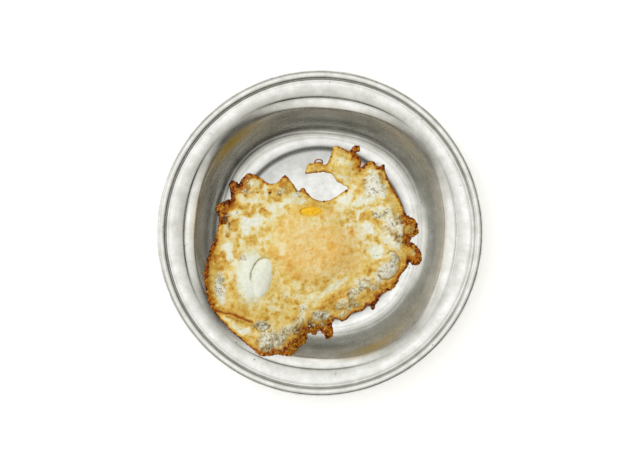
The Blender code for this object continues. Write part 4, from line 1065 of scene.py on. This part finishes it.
def build_yolk(material):
    """The yolk: a low dome with a level foot, swollen into the torn place in the white."""
    form = bmesh.new()
    bmesh.ops.create_uvsphere(form, u_segments=128, v_segments=72, radius=1.0)
    bmesh.ops.scale(form, vec=(YOLK_SIZE[0], YOLK_SIZE[1], 1.0), verts=form.verts)
    bmesh.ops.translate(form, vec=(*YOLK_CENTRE, 0.0), verts=form.verts)
    for vert, top in zip(form.verts, yolk_top(*plan_of(form))):
        vert.co.z = top if vert.co.z > 1e-6 else YOLK_MIDDLE + vert.co.z * YOLK_DOWN
    bmesh.ops.recalc_face_normals(form, faces=form.faces)
    bmesh.ops.scale(form, vec=(MM, MM, MM), verts=form.verts)
    new_piece("yolk", form, material, "yolk", "yolk")


def keep_apart(chosen, spot, apart):
    """Take a spot up if it lies clear enough of all that were chosen before it."""
    x, y, radius = spot
    if all(math.hypot(x - a, y - b) > apart * (radius + r) for a, b, r in chosen):
        chosen.append(spot)


def scatter(generator, places, count, low, high):
    """Random spots inside the places, none on top of another: x, y and radius of each."""
    chosen = []
    for _ in range(count):
        place = places[generator.integers(len(places))]
        turn, way = math.radians(place[4]), generator.uniform(0, math.tau)
        out = math.sqrt(generator.random())
        along, across = place[2] * out * math.cos(way), place[3] * out * math.sin(way)
        x = place[0] + along * math.cos(turn) - across * math.sin(turn)
        y = place[1] + along * math.sin(turn) + across * math.cos(turn)
        keep_apart(chosen, (x, y, low + (high - low) * generator.random() ** 2), 0.85)
    return chosen


def crust_spots(generator, low, high):
    """Random spots along the wide stretches of the browned edge: x, y and radius of each."""
    line = edge_line(CRUST_STEP)
    chosen = []
    for (px, py, width, _), (qx, qy, _, _) in zip(line, np.roll(line, -1, axis=0)):
        if generator.random() > 0.14 * width:
            continue
        length = max(math.hypot(qx - px, qy - py), 1e-6)
        inward = generator.uniform(0.25, 0.95) * width
        x, y = px + (qy - py) / length * inward, py - (qx - px) / length * inward
        keep_apart(chosen, (x, y, low + (high - low) * generator.random() ** 2), 0.8)
    return chosen


def build_beads(name, chosen, squash, sink, material):
    """Small round beads seated on the upper face of the solid egg white, one mesh for all of them."""
    form = bmesh.new()
    form.from_mesh(bpy.data.objects["egg_white"].data)
    white = BVHTree.FromBMesh(form)
    form.clear()
    for x, y, radius in chosen:
        place, normal, _, _ = white.ray_cast(Vector((x * MM, y * MM, 1.0)), Vector((0.0, 0.0, -1.0)))
        if place is None:
            continue
        place = place - normal * radius * sink * MM
        seat = Matrix.Translation(place) @ normal.to_track_quat("Z", "Y").to_matrix().to_4x4()
        bmesh.ops.create_uvsphere(form, u_segments=8, v_segments=5, radius=radius * MM,
                                  matrix=seat @ Matrix.Diagonal((1.0, 1.0, squash, 1.0)))
    new_piece(name, form, material, slot="white")


def mottled_material(name, scale, detail, stops, **finish):
    """A finish whose colour wanders through the stops in blotches of 2 to 3 mm."""
    material, tree = new_material(name)
    where = add(tree, "ShaderNodeTexCoord").outputs["Object"]
    cloud = add(tree, "ShaderNodeTexNoise", {"Vector": where, "Scale": scale, "Detail": detail})
    colour = add(tree, "ShaderNodeValToRGB", {"Fac": cloud.outputs["Fac"]}, stops=stops)
    shader = add(tree, "ShaderNodeBsdfPrincipled", {"Base Color": colour.outputs[0], **finish})
    finish_material(tree, shader)
    return material


def bubble_material():
    """Froth of egg white set by the heat: thin pale skins with a wet shine."""
    return mottled_material(
        "set egg froth", 400.0, 3.0, ((0.3, "A2977A"), (0.45, "BFB89F"), (0.6, "DAD7C6")),
        **{"Roughness": 0.3, "IOR": 1.4, "Specular IOR Level": 0.5})


def crisp_material():
    """Egg white fried to a brown brittle shell: glassy, amber where thin and dark where it burnt."""
    return mottled_material(
        "browned crisp egg", 300.0, 4.0,
        ((0.3, "54200A"), (0.43, "7E340C"), (0.55, "A0500F"), (0.7, "BF7424")),
        **{"Roughness": 0.25, "IOR": 1.4, "Specular IOR Level": 0.5})


def burnt_material():
    """Specks of burnt fat and egg: nearly black, dull."""
    return mottled_material(
        "burnt speck", 500.0, 3.0, ((0.35, "2B2012"), (0.5, "4A3A20"), (0.65, "6B5732")),
        **{"Roughness": 0.6})


def build_loop(material):
    """The thin crisp loop of lace that stands out over the hook."""
    form = bmesh.new()
    tube = bmesh.ops.create_circle(form, segments=8, radius=LOOP_TUBE * MM,
                                   matrix=Matrix.Translation((LOOP_RADIUS * MM, 0.0, 0.0))
                                   @ Matrix.Rotation(math.pi / 2, 4, "X"))
    bmesh.ops.spin(form, geom=tube["verts"] + list(form.edges), cent=(0, 0, 0), axis=(0, 0, 1),
                   angle=math.radians(200), steps=20)
    bmesh.ops.holes_fill(form, edges=[edge for edge in form.edges if edge.is_boundary])
    bmesh.ops.recalc_face_normals(form, faces=form.faces)
    bmesh.ops.rotate(form, cent=(0, 0, 0), matrix=Matrix.Rotation(math.radians(-10), 3, "Z"),
                     verts=form.verts)
    bmesh.ops.scale(form, vec=(1.25, 1.0, 1.0), verts=form.verts)
    for vert in form.verts:
        vert.co += noise.noise_vector(vert.co * 900) * 0.15 * MM
    bmesh.ops.translate(form, vec=[value * MM for value in LOOP_CENTRE], verts=form.verts)
    new_piece("crisp_loop", form, material, slot="white")


# ---------------------------------------------------------------- settings

class EggDishSettings(bpy.types.PropertyGroup):
    """Sizes and colour of the dish."""

    sheet: FloatProperty(name="Sheet", description="Thickness of the steel sheet", default=0.58 * MM,
                         unit="LENGTH")
    steps: IntProperty(name="Steps", description="Facets round the dish", default=224)
    steel: FloatVectorProperty(name="Steel", description="Brightest colour of the steel", size=4,
                               subtype="COLOR", default=linear("E2E2E0"))


class EggWhiteSettings(bpy.types.PropertyGroup):
    """Fineness of the egg white."""

    grid: FloatProperty(name="Grid", description="Spacing of the points of the egg white",
                        default=0.5 * MM, unit="LENGTH")
    bubbles: IntProperty(name="Bubbles", description="How many froth bubbles are tried", default=330)
    specks: IntProperty(name="Specks", description="How many burnt specks are tried", default=300)


class EggStageSettings(bpy.types.PropertyGroup):
    """Camera distance and light of the stage."""

    floor: FloatVectorProperty(name="Floor", description="Colour of the floor", size=4, subtype="COLOR",
                               default=linear("F8F8F7"))
    view_width: FloatProperty(name="View Width", description="Width seen at the height of the rim",
                              default=0.32, unit="LENGTH")
    distance: FloatProperty(name="Camera Distance", description="Height of the camera above the rim",
                            default=3.2, unit="LENGTH")
    sky: FloatProperty(name="Sky", description="Brightness of the overhead light", default=1.5)
    sun: FloatProperty(name="Side Light", description="Brightness of the soft light from the upper left",
                       default=0.5)


# ---------------------------------------------------------------- operators

class EGG_OT_dish(bpy.types.Operator):
    """Make the pressed steel dish with its rolled edge"""

    bl_idname = "egg.dish"
    bl_label = "Steel Dish"

    def execute(self, context):
        settings = context.scene.egg_dish
        form = turned_sheet(dish_profile(), settings.steps)
        piece = new_piece("dish", form, steel_material(settings.steel), "dish", "steel")
        wall = piece.modifiers.new("Sheet", "SOLIDIFY")
        wall.thickness = settings.sheet
        wall.offset = -1.0
        wall.use_even_offset = True
        return {"FINISHED"}


class EGG_OT_white(bpy.types.Operator):
    """Make the fried egg white with its browned lace edge"""

    bl_idname = "egg.white"
    bl_label = "Egg White"

    def execute(self, context):
        build_white(context.scene.egg_white.grid / MM, white_material())
        return {"FINISHED"}


class EGG_OT_yolk(bpy.types.Operator):
    """Make the yolk under the white"""

    bl_idname = "egg.yolk"
    bl_label = "Yolk"

    def execute(self, context):
        build_yolk(yolk_material())
        return {"FINISHED"}


class EGG_OT_froth(bpy.types.Operator):
    """Set small pale bubbles on the frothy places of the egg white"""

    bl_idname = "egg.froth"
    bl_label = "Froth Bubbles"

    def execute(self, context):
        generator = np.random.default_rng(FROTH_SEED)
        chosen = scatter(generator, FROTHY, context.scene.egg_white.bubbles, 0.3, 0.75)
        build_beads("froth_bubbles", chosen, 0.7, 0.25, bubble_material())
        return {"FINISHED"}


class EGG_OT_crust(bpy.types.Operator):
    """Set brittle brown bubbles along the lace edge, and its thin loop"""

    bl_idname = "egg.crust"
    bl_label = "Crust Bubbles"

    def execute(self, context):
        material = crisp_material()
        chosen = crust_spots(np.random.default_rng(CRUST_SEED), 0.4, 0.95)
        build_beads("crust_bubbles", chosen, 0.6, 0.25, material)
        build_loop(material)
        return {"FINISHED"}


class EGG_OT_specks(bpy.types.Operator):
    """Set the burnt specks on the egg white"""

    bl_idname = "egg.specks"
    bl_label = "Burnt Specks"

    def execute(self, context):
        generator = np.random.default_rng(SPECK_SEED)
        chosen = [(x, y, 0.5 * size) for x, y, size in SPECKS]
        chosen += scatter(generator, FROTHY, context.scene.egg_white.specks, 0.14, 0.32)
        chosen += scatter(generator, PALE, context.scene.egg_white.specks // 2, 0.1, 0.22)
        build_beads("burnt_specks", chosen, 0.5, 0.1, burnt_material())
        return {"FINISHED"}


class EGG_OT_stage(bpy.types.Operator):
    """Make the floor, the light and the camera straight above"""

    bl_idname = "egg.stage"
    bl_label = "Stage"

    def execute(self, context):
        settings = context.scene.egg_stage
        form = bmesh.new()
        bmesh.ops.create_grid(form, x_segments=1, y_segments=1, size=6.0)
        bmesh.ops.translate(form, vec=(0.0, 0.0, CAD_BOX[0][2] - 0.1 * MM), verts=form.verts)
        paper, tree = new_material("white paper")
        shader = add(tree, "ShaderNodeBsdfPrincipled", {
            "Base Color": tuple(settings.floor), "Roughness": 0.8,
            "Emission Color": tuple(settings.floor), "Emission Strength": 0.4})
        finish_material(tree, shader)
        floor = bpy.data.objects.new("floor", mesh_of("floor", form, paper))
        context.scene.collection.objects.link(floor)
        self.light_sky(context, settings)
        self.light_side(context, settings)
        self.place_camera(context, settings)
        return {"FINISHED"}

    def light_sky(self, context, settings):
        """A broad soft light overhead that falls off towards the horizon."""
        world = bpy.data.worlds.new("soft sky")
        context.scene.world = world
        world.use_nodes = True
        tree = world.node_tree
        tree.nodes.clear()
        way = add(tree, "ShaderNodeTexCoord").outputs["Generated"]
        lean = add(tree, "ShaderNodeVectorMath", {0: way, 1: Vector((-0.14, 0.12, 1.0)).normalized()},
                   operation="DOT_PRODUCT")
        fall = add(tree, "ShaderNodeValToRGB", {"Fac": lean.outputs["Value"]}, stops=(
            (0.0, "161513"), (0.1, "2E2C29"), (0.2, "55524C"), (0.33, "86837C"), (0.59, "BEBDB7"),
            (0.8, "D3D2CD"), (0.94, "E6E5E2"), (1.0, "FFFFFF")))
        side = add(tree, "ShaderNodeVectorMath", {0: way, 1: Vector((-0.95, 0.1, 0.3)).normalized()},
                   operation="DOT_PRODUCT")
        lamp = add(tree, "ShaderNodeMapRange", {
            0: side.outputs["Value"], 1: 0.9, 2: 0.99, 3: 0.0, 4: 0.55}, interpolation_type="SMOOTHSTEP")
        fall = add(tree, "ShaderNodeMix", {0: 1.0, 6: fall.outputs[0], 7: lamp.outputs[0]},
                   data_type="RGBA", blend_type="ADD")
        seen = add(tree, "ShaderNodeLightPath").outputs["Is Camera Ray"]
        tone = add(tree, "ShaderNodeMix", {0: seen, 6: fall.outputs[2], 7: linear("C4C4C2")},
                   data_type="RGBA")
        back = add(tree, "ShaderNodeBackground", {"Color": tone.outputs[2], "Strength": settings.sky})
        add(tree, "ShaderNodeOutputWorld", {"Surface": back.outputs[0]})

    def light_side(self, context, settings):
        """A soft light from the upper left that brings out the relief."""
        lamp = bpy.data.lights.new("side light", "SUN")
        lamp.energy = settings.sun
        lamp.angle = math.radians(14)
        thing = bpy.data.objects.new("side light", lamp)
        thing.rotation_euler = Vector((-0.55, 0.5, 0.72)).to_track_quat("Z", "Y").to_euler()
        thing.visible_glossy = False
        context.scene.collection.objects.link(thing)

    def place_camera(self, context, settings):
        """A long lens straight above the middle of the dish."""
        camera = bpy.data.cameras.new("camera")
        camera.lens = camera.sensor_width * settings.distance / settings.view_width
        camera.clip_end = 20.0
        thing = bpy.data.objects.new("camera", camera)
        thing.location = (0.0, -0.15 * MM, CAD_BOX[1][2] + settings.distance)
        context.scene.collection.objects.link(thing)
        context.scene.camera = thing
        context.scene.view_settings.view_transform = "Standard"


class EGG_PT_panel(bpy.types.Panel):
    """The pieces of the egg and its dish"""

    bl_label = "Fried Egg"
    bl_space_type = "VIEW_3D"
    bl_region_type = "UI"
    bl_category = "Egg"

    def draw(self, context):
        for operator in OPERATORS:
            self.layout.operator(operator.bl_idname)
        for group in GROUPS:
            for name in group.__annotations__:
                self.layout.prop(getattr(context.scene, GROUPS[group]), name)


GROUPS = {EggDishSettings: "egg_dish", EggWhiteSettings: "egg_white", EggStageSettings: "egg_stage"}
OPERATORS = (EGG_OT_dish, EGG_OT_yolk, EGG_OT_white, EGG_OT_froth, EGG_OT_crust, EGG_OT_specks,
             EGG_OT_stage)


def register():
    """Register the classes and put their settings on the scene."""
    for group, name in GROUPS.items():
        bpy.utils.register_class(group)
        setattr(bpy.types.Scene, name, PointerProperty(type=group))
    for operator in OPERATORS:
        bpy.utils.register_class(operator)
    bpy.utils.register_class(EGG_PT_panel)


def unregister():
    """Take the settings and the classes away again."""
    bpy.utils.unregister_class(EGG_PT_panel)
    for operator in reversed(OPERATORS):
        bpy.utils.unregister_class(operator)
    for group, name in GROUPS.items():
        delattr(bpy.types.Scene, name)
        bpy.utils.unregister_class(group)


def main():
    """Make every piece."""
    register()
    bpy.ops.egg.dish()
    bpy.ops.egg.yolk()
    bpy.ops.egg.white()
    bpy.ops.egg.froth()
    bpy.ops.egg.crust()
    bpy.ops.egg.specks()
    bpy.ops.egg.stage()


if __name__ == "__main__":
    main()
